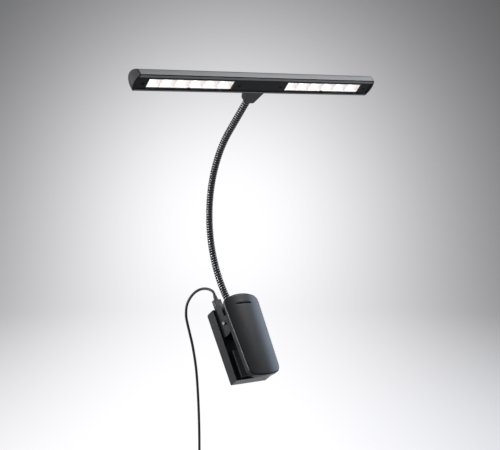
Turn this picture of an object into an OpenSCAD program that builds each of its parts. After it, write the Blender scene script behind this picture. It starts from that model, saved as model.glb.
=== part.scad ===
// Clip-on music stand light: a light bar with two rows of lamps on a bendable neck,
// carried by a spring clip that also holds the cells, the switch and the charging lead.
// Millimetres. +X runs along the bar, +Y points away from the reader and +Z is up.
// The origin is the middle of the rear jaw pad's gripping face.

/* [Light bar] */
// Length of the bar over its end caps
bar_len = 269; // [230:1:300]
// Width of the bar across its flat underside
bar_w = 20; // [17:0.5:26]
// Height of the bar from its underside to the top of its arch
bar_h = 12.5; // [12:0.5:16]
// Height of the bar's straight side walls
bar_side = 6.5; // [5:0.25:8]
// Wall of the bar's extruded shell
bar_wall = 1.2; // [0.9:0.1:1.6]
// Thickness of an end cap outside the shell, at the middle of its bow
cap_t = 3; // [2.5:0.5:4]
// How far an end cap bows out across the bar
cap_bow = 1.75; // [0.5:0.25:2]
// Length of the tongue that an end cap pushes into the shell
cap_tongue = 2.5; // [1:0.5:4]
// Width of the shadow groove along each lower edge of the shell
groove_w = 0.9; // [0.4:0.1:1.2]
// Depth of the shadow groove
groove_d = 0.5; // [0.2:0.1:0.7]
// Width of the shell's front lip under the face plate
front_lip = 3.4; // [2:0.1:4]
// Width of the shell's rear lip under the face plate
rear_lip = 2; // [1.6:0.1:2.4]
// Angle by which the flat underside tips down towards its rear edge
head_tilt = 44; // [30:1:60]

/* [Lamp windows] */
// Clear distance between the two windows
window_gap = 60; // [50:1:80]
// Distance from a window's outer end to the end of the bar
window_end = 14; // [11:0.5:20]
// Distance from the bar's front edge to the windows
window_front = 5.9; // [4.2:0.1:7]
// Clear strip between a window's pane and the shell's rear rail
window_land = 0.6; // [0.2:0.1:2]
// How far a pane reaches past its window on each side
window_lap = 0.7; // [0.4:0.1:1.2]
// Lamps behind each window
lamp_count = 6; // [4:1:8]
// Thickness of the face plate
plate_t = 1.5; // [1:0.1:2]
// Thickness of the shell's lips, on which the face plate lies
plate_recess = 0.6; // [0.5:0.1:1]
// Thickness of a clear window strip
lens_t = 1.2; // [0.8:0.1:1.6]
// Depth of a reflector tray
reflector_t = 4.3; // [3:0.1:4.8]
// Thickness of a lamp board
board_t = 1; // [0.8:0.1:1.2]
// Side of a lamp chip
chip_w = 3; // [2:0.1:3.5]
// Height of a lamp chip
chip_h = 0.9; // [0.5:0.1:1.2]

/* [Neck] */
// Length of the bendable neck between its end joints
neck_len = 227; // [180:1:280]
// Outside diameter of the neck
neck_d = 7; // [6:0.1:9]
// Pitch of the winding ridges
ridge_pitch = 2.5; // [2:0.1:4]
// Depth of the groove between ridges
ridge_depth = 0.45; // [0.2:0.05:0.6]
// Diameter of the passage for the lamp lead
neck_bore = 3; // [2.6:0.1:3.4]
// Diameter of the lamp lead
lead_d = 2.3; // [1.6:0.1:2.4]
// Backward lean of the neck where it leaves the clip
neck_start = 42; // [20:1:60]
// Straight stretch at the foot of the neck
neck_foot = 8; // [0:1:40]
// Straight stretch under the light bar
neck_tail = 40; // [0:1:60]
// Length of the tapered bracket between neck and bar
bracket_len = 15; // [13:0.5:24]
// Width of the bracket against the bar
bracket_w = 21; // [20:0.5:34]
// Width of the bracket at the neck
bracket_end_w = 10; // [10:0.5:18]
// Wall of the bracket above and below the neck's end
bracket_wall = 1.5; // [1:0.1:2.5]

/* [Clip] */
// Backward lean of the clip, as it grips a leaning board
clip_lean = 33.5; // [0:0.5:45]
// Wall of the rear housing's sides and ends
housing_wall = 1.6; // [1.2:0.1:2.4]
// Wall of the rear housing's front
front_wall = 1.4; // [1:0.1:2.4]
// Thickness of the rear cover and of the battery door
cover_t = 1.8; // [1.4:0.1:2.4]
// Length of the room for the control board
deck_len = 20.7; // [18:0.1:30]
// Width of the hinge block
block_w = 35; // [30:0.5:40]
// Height of the hinge block above its pin
block_over_pin = 19.5; // [18:0.5:26]
// Height of the hinge block below its pin
block_under_pin = 11.5; // [8:0.5:16]
// Diameter of the hinge pin
pin_d = 3; // [2:0.1:4]
// Distance of the hinge pin in front of the gripping face
pin_out = 7; // [6:0.1:10]
// Height of the hinge pin above the middle of the rear pad
pin_up = 39.5; // [34:0.5:46]
// How far each end of the hinge pin stands out of the hinge block
pin_stub = 2; // [0:0.1:2.5]

/* [Jaw] */
// Height of the jaw's top edge above the hinge pin
jaw_over_pin = 23; // [18:0.5:30]
// Length of the jaw from top edge to tip
jaw_len = 84.5; // [70:0.5:100]
// Width of the jaw at its top
jaw_top_w = 41; // [36:0.5:44]
// Width of the jaw at its tip
jaw_tip_w = 35; // [28:0.5:40]
// Radius of the jaw's crown across its width
jaw_crown = 60; // [45:1:90]
// Depth of the jaw from its pad's seat to its crown, level with the pin
jaw_depth = 8.5; // [8:0.1:12]
// Thickness of the jaw
jaw_t = 2.6; // [2:0.1:3]
// Thickness of the jaw's side walls
skirt_t = 1.8; // [1:0.1:2.2]
// Distance of the jaw's side walls from the gripped board
skirt_clear = 1.5; // [0.5:0.1:3]
// Lean of the jaw's top away from the housing
jaw_lean = 1; // [0:0.25:4]
// Opening between the two pads
jaw_gap = 12; // [8:0.25:16]
// Thickness of a jaw pad
pad_t = 2; // [1:0.1:3]
// Width of the rear jaw pad
pad_w = 28; // [20:0.5:36]
// Height of the rear jaw pad
pad_h = 28; // [20:0.5:30]
// Height of the front jaw pad
front_pad_h = 18; // [12:0.5:24]
// Length of the thumb grip slit
grip_w = 20; // [14:0.5:26]
// Height of the thumb grip slit
grip_h = 2.4; // [1.5:0.1:4]
// Depth of the thumb grip slit
grip_d = 1.2; // [0.6:0.1:1.6]
// Distance of the thumb grip below the jaw's top edge
grip_down = 8.25; // [6:0.25:12]
// Diameter of the spring's wire
spring_wire = 1.2; // [0.8:0.1:1.6]
// Clear gap between neighbouring turns of the spring
spring_gap = 0.55; // [0.5:0.05:1]
// Clearance between the spring's coil and the pin
spring_slack = 0.9; // [0.5:0.1:1.2]
// Turns of the spring
spring_turns = 5; // [3:1:6]

/* [Cells and switch] */
// Diameter of a cell
cell_d = 10.5; // [8:0.1:14.5]
// Length of a cell with its nub
cell_len = 44.5; // [38:0.5:50.5]
// Clear gap between neighbouring cells
cell_gap = 0.7; // [0.3:0.1:1.5]
// Clearance before and behind a cell
cell_slack = 0.15; // [0.1:0.05:0.5]
// Room beside the cells for the door's runners
side_room = 1.95; // [1:0.05:4]
// Room for the contacts at each end of the cells
contact_room = 2.2; // [1.5:0.1:3]
// Diameter of the switch button
button_d = 8; // [6:0.5:9]
// How far the button stands out of the cover
button_out = 1; // [0.8:0.1:2]
// Thickness of the control board
control_t = 1; // [0.8:0.1:1.6]

/* [Charging lead] */
// Diameter of the charging cord
cord_d = 2.6; // [2:0.1:3.5]
// Width of the small plug's grip
plug_w = 8.4; // [8:0.1:9]
// Thickness of the small plug's grip
plug_t = 5.2; // [4:0.1:6]
// Length of the small plug's grip
plug_len = 7.6; // [6:0.1:9]
// Distance of the small plug's middle from the hinge block's side
plug_edge = 4.1; // [4.1:0.1:7]
// Layers in the stored coil
coil_layers = 4; // [2:2:4]
// Turns in each layer of the stored coil
coil_turns = 2; // [2:1:3]
// Mean radius of the stored coil
coil_r = 15; // [14:0.5:17]
// Clear gap between neighbouring turns
coil_gap = 0.6; // [0.5:0.05:1]

/* [Fits] */
// Clearance round a screw, pin or push-in tongue
fit = 0.05; // [0.03:0.01:0.1]
// Clearance between parts that slide or swing past each other
slide_gap = 0.3; // [0.25:0.05:0.4]

/* [Hidden] */
$fn = 48;

// Finishes
black_metal = [0.20, 0.20, 0.21];
black_plastic = [0.13, 0.13, 0.14];
dull_black = [0.07, 0.07, 0.08];
bright_steel = [0.75, 0.76, 0.78];
board_green = [0.10, 0.32, 0.16];
lamp_white = [0.95, 0.95, 0.93];
contact_brass = [0.78, 0.65, 0.30];
cell_grey = [0.45, 0.47, 0.50];
clear_strip = [0.85, 0.90, 0.95, 0.35];

// Light bar section, in the bar's own frame: +Y to the rear edge, +Z up to the arch
bar_rise = bar_h - bar_side;
arch_r = (pow(bar_w / 2, 2) + pow(bar_rise, 2)) / (2 * bar_rise);
arch_z = bar_h - arch_r;
shell_len = bar_len - 2 * cap_t;
cap_arc = (pow(bar_w / 2, 2) + pow(cap_bow, 2)) / (2 * cap_bow);
plate_top = plate_recess + plate_t;
rail_w = 0.6;
rail_t = 1;
lens_top = plate_top + lens_t;
tray_top = lens_top + reflector_t;
rib_foot = tray_top + board_t;
rib_w = 5;
window_rear = bar_wall + rail_w + window_lap + window_land;
window_y0 = window_front - bar_w / 2;
window_y1 = bar_w / 2 - window_rear;
window_y = (window_y0 + window_y1) / 2;
window_w = window_y1 - window_y0;
window_x0 = window_gap / 2;
window_len = bar_len / 2 - window_end - window_x0;
window_x = window_x0 + window_len / 2;
cell_step = window_len / lamp_count;
divider_t = 0.9;
divider_foot = 4;
catch_w = 2.4;
catch_out = 0.9;
tray_floor_w = cell_step - divider_foot;
board_lead_in = 5;
face_screw_r = 0.9;
face_head_r = 1.6;
face_head_t = 0.8;
face_screw_bite = 2.2;
face_screw_gap = 0.6;
face_screw_x = [
    (bar_len / 2 - window_end + window_lap + shell_len / 2 - cap_tongue) / 2,
    window_x0 - board_lead_in - face_screw_r - face_screw_gap];
cross_slot = 0.5;

// Neck, from the joint in the clip to the joint in the bracket
neck_r = neck_d / 2;
neck_links = 10;
link_len = neck_len / neck_links;
neck_end = head_tilt - 90;
cup_lip = 0.35;
ball_r = neck_r - ridge_depth - slide_gap - cup_lip;
cup_r = ball_r + slide_gap;
cup_drop = 0.3;
cross_pin_r = ball_r / 4;
cross_pin_len = 2 * (neck_r - ridge_depth - 3 * fit);
link_gap = 1.2;
neck_y = 0;
ferrule_top = 3;
block_stand = 1;
block_z1 = pin_up + block_over_pin;
housing_top = block_z1 - block_stand;
neck_z = block_z1 + ferrule_top;
function lean_point(p, a) = [p.x, p.y * cos(a) + p.z * sin(a), p.z * cos(a) - p.y * sin(a)];
function bend_share(s) = min(1, max(0, (s - neck_foot) / (neck_len - neck_foot - neck_tail)));
function neck_lean(s) = neck_start - (neck_start - neck_end) * bend_share(s);
link_lean = [for (i = [0:neck_links - 1]) neck_lean((i + 0.5) * link_len)];
function neck_joint(i) = i == 0
    ? lean_point([0, neck_y, neck_z], clip_lean)
    : neck_joint(i - 1) + link_len * [0, sin(link_lean[i - 1]), cos(link_lean[i - 1])];

// Bracket and bar hang on the neck's last joint
bracket_gap = 1.5;
neck_h = tray_top - 1.4;
head_joint = [0, bar_w / 2 + bracket_len + bracket_gap, neck_h];
head_at = neck_joint(neck_links) - lean_point(head_joint, head_tilt);
stub_r = neck_r - ridge_depth - 0.05;
stub_len = bracket_len - 5;
bracket_t = 2 * (stub_r + bracket_wall);
bracket_screw_x = bracket_w / 2 - 4.5;
bracket_screw_z = (plate_top + rail_t + bar_side) / 2;
bracket_head_r = (bar_side - plate_top - rail_t) / 2 - 0.1;
bracket_screw_r = 0.65 * bracket_head_r;
bracket_head_t = 1.5;
bracket_bite = 5;
lead_r = lead_d / 2;
branch_r = 0.8;
branch_y = window_y - 2.6;

// Clip, in its own upright frame: the rear pad's face is y = 0
house_y0 = pad_t;
housing_t = front_wall + cell_d + 2 * cell_slack + cover_t;
house_y1 = house_y0 + housing_t;
wall_t = 1.2;
housing_len = 2 * housing_wall + cell_len + 2 * contact_room + wall_t + deck_len;
house_z0 = housing_top - housing_len;
clip_w = 3 * cell_d + 2 * cell_gap + 2 * side_room + 2 * housing_wall;
cell_pitch = cell_d + cell_gap;
house_round = 5;
side_round = 3;
room_x = clip_w / 2 - housing_wall;
room_y0 = house_y0 + front_wall;
cover_y = house_y1 - cover_t;
bay_z0 = house_z0 + housing_wall;
bay_z1 = bay_z0 + cell_len + 2 * contact_room;
deck_z0 = bay_z1 + wall_t;
deck_z1 = housing_top - housing_wall;
cell_y = room_y0 + cell_d / 2 + fit;
control_y = room_y0 + 3.1;
control_w = 2 * room_x - 4;
post_x = room_x - 4.4;
post_z = deck_z1 - 4;
post_r = 2.4;
cover_screw_r = 0.95;
cover_head_r = 1.9;
cover_head_t = 1;
button_z = (deck_z0 + deck_z1) / 2;
button_travel = 0.8;
flange_t = 1.6;
tongue_t = 0.9;
tongue_w = 0.5;

// Hinge block
block_z0 = pin_up - block_under_pin;
block_round = 4;
pin_r = pin_d / 2;
pin_half = block_w / 2 + pin_stub;
ear_wall = 2.5;
ear_r = pin_r + ear_wall;
ear_t = 3.4;
ear_sweep = 0.5;
block_front = pin_out + ear_r + ear_sweep;
block_upper_front = pin_out + 2;
block_step_z = pin_up + ear_r + 2.5;
slot_back = pin_out - ear_r - ear_sweep;
spring_arm_turn = 70;
spring_sweep = 360 * spring_turns + spring_arm_turn;
spring_r = pin_r + spring_slack + spring_wire / 2;
spring_span = (spring_wire + spring_gap) * spring_sweep / 360;
spring_side = 2.5;
block_web = 1.4;
spring_room_x = spring_span / 2 + spring_wire / 2 + spring_side;
ear_x = spring_room_x + block_web + slide_gap + ear_t / 2;
spring_room_back = pin_out - spring_r - spring_wire / 2 - 0.2;
spring_room_z = block_step_z - 0.7;
tail_wall = 1.9;
tail_r = neck_bore / 2 + tail_wall;
nut_t = 3;
nut_af = 2 * tail_r + 1.8;
nut_room_x = nut_af / 2 / cos(30) + slide_gap;
nut_z1 = block_z1 - 5;
nut_z0 = nut_z1 - nut_t;
tail_z0 = nut_z0 - 0.4;
lead_drop = tail_z0 - 2;
nut_room_z0 = lead_drop - lead_r - 0.2;
ferrule_r = neck_r + 0.9;

// Small plug and its socket
socket_w = 7.5;
socket_t = 2.7;
socket_skin = 0.3;
plug_x = block_w / 2 - plug_edge;
plug_y = house_y0 - socket_skin - fit - socket_t / 2;
socket_len = 5.6;
socket_wall = 0.35;
plug_shell_gap = 0.08;
plug_grip_z = block_z1 + 0.4;
relief_len = 6;
relief_steps = 3;
relief_r0 = cord_d / 2 + 0.9;
relief_z0 = plug_grip_z + plug_len;
usb_lead_r = 0.9;

// Jaw
jaw_top = pin_up + jaw_over_pin;
jaw_out = jaw_gap + pad_t + jaw_depth;
jaw_z0 = jaw_top - jaw_len;
jaw_corner = 5;
jaw_top_arc = 52;
jaw_tip_arc = 45;
grip_arc = (pow(grip_w / 2, 2) + pow(grip_h, 2)) / (2 * grip_h);
land_face = jaw_gap + pad_t;
land_lip = 1;
skirt_out = jaw_out + jaw_depth;
skirt_low = jaw_z0 - jaw_depth;
front_pad_w = jaw_tip_w - 8;
front_pad_top = jaw_z0 + 5 + front_pad_h;

// Spring path round the hinge pin
arm_gap = 0.8;
spring_long_arm = (jaw_out - jaw_t - arm_gap - pin_out + spring_r * cos(spring_arm_turn)) / sin(spring_arm_turn);
spring_short_arm = block_under_pin - 2.5;
curl_rings = 8;
spring_n = ceil(spring_sweep / 360 * curl_rings);
function spring_point(k) = [
    -spring_span / 2 + spring_span * k / spring_n,
    -pin_out + spring_r * cos(spring_sweep * k / spring_n),
    pin_up + spring_r * sin(spring_sweep * k / spring_n)];
spring_out = [0, -sin(spring_arm_turn), cos(spring_arm_turn)];
spring_path = concat(
    [spring_point(0) - [0, 0, spring_short_arm], spring_point(0) - [0, 0, spring_wire]],
    [for (k = [0:spring_n]) spring_point(k)],
    [spring_point(spring_n) + spring_wire * spring_out, spring_point(spring_n) + spring_long_arm * spring_out]);

// Route of the charging cord: out of the plug, over to the rear and down under its own weight
cord_r = cord_d / 2;
relief_end = lean_point([-plug_x, plug_y, relief_z0 + relief_len], clip_lean);
cord_out = lean_point([0, 0, 1], clip_lean);
coil_entry = [-15, 66, -120];
cord_points = [
    [-13.8, 44.5, 64.4], [-15.2, 47.5, 65.6], [-18, 52, 66], [-21.5, 56, 64.5], [-25, 59.5, 61],
    [-28, 62, 56], [-30, 64, 50], [-30.5, 65, 44], [-30, 65.6, 37], [-28, 66, 29], [-25.6, 66, 20],
    [-23, 66, 10], [-20.6, 66, -2], [-18.6, 66, -15], [-17.2, 66, -30], [-16.2, 66, -46], [-15.5, 66, -62],
    [-15.1, 66, -78], [-15, 66, -94], [-15, 66, -108]];
cord_path = concat([relief_end, relief_end + cord_d * cord_out], cord_points,
    [coil_entry + [0, 0, cord_d], coil_entry]);

// Stored coil: it spirals in and out again, layer by layer, and climbs where the spiral turns back
coil_step = cord_d + coil_gap;
coil_total = coil_layers * coil_turns;
coil_rings = 24;
coil_span = coil_step * coil_turns / 2;
coil_tail = 22;
function spiral_share(t) = let (m = t % (2 * coil_turns)) (m < coil_turns ? 1 - 2 * m / coil_turns : 2 * m / coil_turns - 3);
function ease(x) = let (c = min(1, max(0, x))) c * c * (3 - 2 * c);
function climb(t) = coil_layers < 2 ? 0
    : [for (k = [1:coil_layers - 1]) ease((t - coil_turns * k + 0.25) * 2)] * [for (k = [1:coil_layers - 1]) 1];
coil_centre = coil_entry + [coil_r + coil_span, 0, -2 * cord_d];
function coil_point(t) = coil_centre + [
    -(coil_r + coil_span * spiral_share(t)) * cos(360 * t),
    -coil_step * climb(t),
    -(coil_r + coil_span * spiral_share(t)) * sin(360 * t)];
coil_end = coil_point(coil_total);
coil_path = concat(
    [coil_entry, coil_entry - [0, 0, cord_d]],
    [for (i = [0:coil_total * coil_rings]) coil_point(i / coil_rings)],
    [coil_end - [0, 0, coil_tail - cord_d], coil_end - [0, 0, coil_tail]]);
coil_deep = coil_step * (coil_layers - 1) + cord_d;
coil_wide = 2 * coil_span + cord_d;
tie_t = 1;
tie_w = 6;
tie_gap = 0.3;

// Plug at the far end of the cord
end_plug_top = coil_end - [0, 0, coil_tail];
end_relief_len = 8;
end_grip_len = 19;
end_grip_w = 15;
end_grip_t = 7.5;
end_shell_len = 12;
end_shell_w = 12;
end_shell_t = 4.5;
end_shell_wall = 0.4;

// Least gap that a wound path leaves to itself, read between points more than a third of a turn apart
function least_gap(path, d, skip) = min([
    for (i = [0:len(path) - 1 - skip]) min([for (j = [i + skip:len(path) - 1]) norm(path[i] - path[j])])]) - d;
echo(coil_least_gap = least_gap(coil_path, cord_d, coil_rings / 3));
echo(spring_least_gap = least_gap(spring_path, spring_wire, curl_rings / 2));

// Helpers
module in_clip() {
    rotate([-clip_lean, 0, 0]) children();
}

module in_jaw() {
    in_clip() translate([0, -pin_out, pin_up]) rotate([jaw_lean, 0, 0]) translate([0, pin_out, -pin_up]) children();
}

module in_head() {
    translate(head_at) rotate([-head_tilt, 0, 0]) children();
}

module in_link(i) {
    translate(neck_joint(i)) rotate([-link_lean[i], 0, 0]) children();
}

// A box from one corner to the other
module block(lo, hi) {
    translate(lo) cube(hi - lo);
}

module rod_x(r, x0, x1) {
    translate([x0, 0, 0]) rotate([0, 90, 0]) cylinder(r = r, h = x1 - x0);
}

module rod_y(r, y0, y1) {
    translate([0, y0, 0]) rotate([-90, 0, 0]) cylinder(r = r, h = y1 - y0);
}

module rod_z(r, z0, z1) {
    translate([0, 0, z0]) cylinder(r = r, h = z1 - z0);
}

// A flat outline in Y and Z, drawn out along X about the middle
module along_x(len) {
    rotate([90, 0, 90]) linear_extrude(len, center = true) children();
}

// A flat outline in X and Z, drawn out from y0 back to y1
module along_y(y0, y1) {
    translate([0, y1, 0]) rotate([90, 0, 0]) linear_extrude(y1 - y0) children();
}

// What a rounded corner takes off the sharp one at c, which points along s
module corner_waste(c, s, r) {
    translate(c - r * s) difference() {
        translate([s.x > 0 ? 0 : -r - 1, s.y > 0 ? 0 : -r - 1]) square(r + 1);
        circle(r);
    }
}

// A tube of n sides along a path, with its rings turned about the axis "ref"
module swept_tube(path, r, n, ref) {
    last = len(path) - 1;
    function along(i) = path[min(last, i + 1)] - path[max(0, i - 1)];
    function unit(v) = v / norm(v);
    points = [for (i = [0:last]) let (t = unit(along(i)), a = unit(cross(ref, t)), b = cross(t, a))
        for (k = [0:n - 1]) path[i] + r * (cos(360 * k / n) * a + sin(360 * k / n) * b)];
    sides = [for (i = [0:last - 1]) for (k = [0:n - 1]) let (q = (k + 1) % n) for (f = [
        [i * n + k, (i + 1) * n + k, (i + 1) * n + q], [i * n + k, (i + 1) * n + q, i * n + q]]) f];
    foot = [for (k = [1:n - 2]) [0, k, k + 1]];
    top = [for (k = [1:n - 2]) [last * n, last * n + k + 1, last * n + k]];
    polyhedron(points, concat(sides, foot, top));
}

// Light bar

// The bar's section, drawn in by "inset" all round and standing on z = foot
module bar_solid(inset, len, foot) {
    half = bar_w / 2 - inset;
    translate([-len / 2, -half, foot]) cube([len, 2 * half, bar_side - foot]);
    intersection() {
        translate([0, 0, arch_z]) rod_x(arch_r - inset, -len / 2, len / 2);
        translate([-len / 2, -half, bar_side - 0.5]) cube([len, 2 * half, bar_h]);
    }
}

module face_screw_places() {
    for (s = [-1, 1]) for (x = face_screw_x) translate([s * x, window_y, 0]) children();
}

module bracket_screw_places() {
    for (s = [-1, 1]) translate([s * bracket_screw_x, 0, bracket_screw_z]) children();
}

module head_shell() color(black_metal) in_head() difference() {
    bar_solid(0, shell_len, 0);
    difference() {
        bar_solid(bar_wall, shell_len + 2, -1);
        for (s = [-1, 1]) translate([0, s * (bar_w / 2 - bar_wall - rail_w / 2), plate_top + rail_t / 2])
            cube([shell_len, rail_w, rail_t], center = true);
        block([-shell_len / 2, window_y - rib_w / 2, rib_foot], [shell_len / 2, window_y + rib_w / 2, bar_h]);
        block([-shell_len / 2, -bar_w / 2, 0], [shell_len / 2, front_lip - bar_w / 2, plate_recess]);
        block([-shell_len / 2, bar_w / 2 - rear_lip, 0], [shell_len / 2, bar_w / 2, plate_recess]);
    }
    for (s = [-1, 1]) translate([0, s * (bar_w - groove_w) / 2, 0])
        cube([shell_len + 2, groove_w + 2 * fit, 2 * groove_d], center = true);
    face_screw_places() rod_z(face_screw_r + fit, rib_foot - 1, rib_foot + face_screw_bite + 0.3);
    translate([0, 0, neck_h]) rod_y(lead_r + slide_gap, bar_w / 2 - bar_wall - 1, bar_w / 2 + 1);
    bracket_screw_places() rod_y(bracket_screw_r + fit, bar_w / 2 - bar_wall - 1, bar_w / 2 + 1);
}

module end_cap(side) color(black_plastic) in_head() {
    intersection() {
        translate([side * (bar_len - cap_t) / 2, 0, 0]) bar_solid(0, cap_t, 0);
        translate([side * (bar_len / 2 - cap_arc), 0, 0]) rod_z(cap_arc, -1, bar_h + 1);
    }
    translate([side * (shell_len - cap_tongue) / 2, 0, 0]) intersection() {
        bar_solid(bar_wall + fit, cap_tongue, plate_top + rail_t + fit);
        block([-cap_tongue, -bar_w, 0], [cap_tongue, bar_w, rib_foot - fit]);
    }
}

module end_cap_left() end_cap(-1);

module end_cap_right() end_cap(1);

module window_box(side, lap, z0, z1) {
    block([side * window_x - window_len / 2 - lap, window_y0 - lap, z0],
          [side * window_x + window_len / 2 + lap, window_y1 + lap, z1]);
}

module face_plate() color(dull_black) in_head() difference() {
    half = bar_w / 2 - bar_wall - fit;
    block([-shell_len / 2, -half, plate_recess], [shell_len / 2, half, plate_top]);
    for (s = [-1, 1]) difference() {
        window_box(s, 0, plate_recess - 1, plate_top + 1);
        translate([s * window_x - catch_w / 2, window_y1 - catch_out, plate_recess - 2])
            cube([catch_w, bar_w, plate_t + 4]);
    }
    face_screw_places() {
        rod_z(face_screw_r + fit, plate_recess - 1, plate_top + 1);
        rod_z(face_head_r + fit, plate_recess - 1, plate_recess + face_head_t);
    }
}

module face_screws() color(dull_black) in_head() face_screw_places() difference() {
    union() {
        rod_z(face_head_r, plate_recess, plate_recess + face_head_t);
        rod_z(face_screw_r, plate_recess, rib_foot + face_screw_bite);
    }
    for (a = [0, 90]) rotate(a) cube([2 * face_head_r - 0.8, cross_slot, 1.6 * cross_slot + 2 * plate_recess], center = true);
}

module lens(side) color(clear_strip) in_head() window_box(side, window_lap, plate_top, lens_top);

module lens_left() lens(-1);

module lens_right() lens(1);

module lamp_places(side) {
    for (i = [0:lamp_count - 1])
        translate([side * window_x - window_len / 2 + (i + 0.5) * cell_step, window_y, 0]) children();
}

module reflector(side) color(lamp_white) in_head() difference() {
    intersection() {
        window_box(side, window_lap, lens_top, tray_top);
        bar_solid(bar_wall + 2 * fit, bar_len, 0);
    }
    lamp_places(side) along_y(-window_w / 2, window_w / 2) polygon([
        [(divider_t - cell_step) / 2, lens_top], [(cell_step - divider_t) / 2, lens_top],
        [tray_floor_w / 2, tray_top], [-tray_floor_w / 2, tray_top]]);
}

module reflector_left() reflector(-1);

module reflector_right() reflector(1);

module lamp_board(side) color(lamp_white) in_head() {
    x0 = side * window_x - window_len / 2 - (side > 0 ? board_lead_in : 0);
    x1 = side * window_x + window_len / 2 + (side < 0 ? board_lead_in : 0);
    block([x0, window_y0 + 1, tray_top], [x1, window_y1 - 1, rib_foot]);
}

module lamp_board_left() lamp_board(-1);

module lamp_board_right() lamp_board(1);

module lamp_chips(side) color(contact_brass) in_head() lamp_places(side)
    block([-chip_w / 2, -chip_w / 2, tray_top - chip_h], [chip_w / 2, chip_w / 2, tray_top]);

module lamp_chips_left() lamp_chips(-1);

module lamp_chips_right() lamp_chips(1);

module head_lead() color(dull_black) in_head() {
    branch_x = window_x0 - board_lead_in / 2;
    branch_z = tray_top - branch_r;
    translate([0, 0, neck_h]) rod_y(lead_r, branch_y - lead_r, bar_w / 2 + bracket_len - 2);
    translate([0, branch_y, branch_z]) rod_x(branch_r, -branch_x, branch_x);
}

// Bracket and neck

module neck_bracket() color(black_plastic) in_head() difference() {
    end_y = bar_w / 2 + bracket_len;
    translate([0, 0, neck_h - bracket_t / 2]) linear_extrude(bracket_t) polygon([
        [-bracket_w / 2, bar_w / 2 - 4], [bracket_w / 2, bar_w / 2 - 4], [bracket_w / 2, bar_w / 2 + 1],
        [bracket_end_w / 2, end_y], [-bracket_end_w / 2, end_y], [-bracket_w / 2, bar_w / 2 + 1]]);
    bar_solid(-fit, bracket_w + 2, -bar_h);
    translate([0, 0, neck_h]) {
        rod_y(stub_r + fit, end_y - stub_len - fit, end_y + 1);
        rod_y(lead_r + slide_gap, 0, end_y);
    }
    bracket_screw_places() rod_y(bracket_screw_r + fit, 0, bar_w / 2 + bracket_bite + 0.3);
}

module bracket_screws() color(bright_steel) in_head() bracket_screw_places() {
    rod_y(bracket_screw_r, bar_w / 2 - bar_wall - 0.5, bar_w / 2 + bracket_bite);
    rod_y(bracket_head_r, bar_w / 2 - bar_wall - bracket_head_t, bar_w / 2 - bar_wall);
}

module head_ferrule() color(bright_steel) in_head() translate([0, head_joint.y, neck_h]) difference() {
    union() {
        sphere(ball_r);
        cross_pin(neck_links, 0);
        rod_y(stub_r, -bracket_gap - stub_len, -link_gap);
    }
    rod_y(neck_bore / 2, -bracket_gap - stub_len - 1, ball_r + 1);
}

// Pin across ball i, about which it turns: along X and along Y by turns
module cross_pin(i, gap) {
    rotate(i % 2 == 0 ? 0 : 90) rod_x(cross_pin_r + gap, -cross_pin_len / 2 - gap, cross_pin_len / 2 + gap);
}

// Ridged sleeve i, which turns on its ball at z = 0 and takes the next ball at z = link_len
module neck_sleeve(i) {
    next_lean = i + 1 < neck_links ? link_lean[i + 1] : link_lean[i];
    z0 = link_gap;
    z1 = link_len - cup_drop;
    ridges = max(1, round((z1 - z0) / ridge_pitch));
    step = (z1 - z0) / ridges;
    valley_r = neck_r - ridge_depth;
    difference() {
        union() {
            sphere(ball_r);
            cross_pin(i, 0);
            rotate_extrude() polygon(concat(
                [[0, z0], [valley_r, z0]],
                [for (k = [0:ridges - 1]) for (p = [[neck_r, z0 + (k + 0.5) * step], [valley_r, z0 + (k + 1) * step]]) p],
                [[0, z1]]));
        }
        translate([0, 0, link_len]) {
            sphere(cup_r);
            rotate([link_lean[i] - next_lean, 0, 0]) cross_pin(i + 1, fit);
        }
        rod_z(neck_bore / 2, -ball_r - 1, link_len);
    }
}

module neck_link(i) {
    color(black_metal) in_link(i) neck_sleeve(i);
    color(dull_black) in_link(i) rod_z(lead_r, link_gap, link_len - cup_r - link_gap);
}

module neck_ferrule() color(black_metal) in_clip() translate([0, neck_y, 0]) difference() {
    union() {
        rod_z(ferrule_r, block_z1, neck_z - cup_drop);
        rod_z(tail_r, tail_z0, block_z1 + 1);
    }
    translate([0, 0, neck_z]) {
        sphere(cup_r);
        cross_pin(0, fit);
    }
    rod_z(neck_bore / 2, tail_z0 - 1, neck_z);
}

module ferrule_nut() color(bright_steel) in_clip() translate([0, neck_y, nut_z0]) difference() {
    cylinder(d = nut_af / cos(30), h = nut_t, $fn = 6);
    rod_z(tail_r + fit, -1, nut_t + 1);
}

// Rear housing

module housing_solid() {
    intersection() {
        along_x(clip_w) difference() {
            translate([house_y0, house_z0]) square([housing_t, housing_len]);
            corner_waste([house_y1, housing_top], [1, 1], house_round);
            corner_waste([house_y1, house_z0], [1, -1], side_round);
        }
        translate([0, 0, house_z0 - 1]) linear_extrude(housing_len + 2) difference() {
            translate([-clip_w / 2, house_y0]) square([clip_w, housing_t]);
            for (s = [-1, 1]) corner_waste([s * clip_w / 2, house_y1], [s, 1], side_round);
        }
    }
}

module cell_places() {
    for (i = [-1:1]) translate([i * cell_pitch, cell_y, 0]) children();
}

module post_places() {
    for (s = [-1, 1]) translate([s * post_x, 0, post_z]) children();
}

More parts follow.
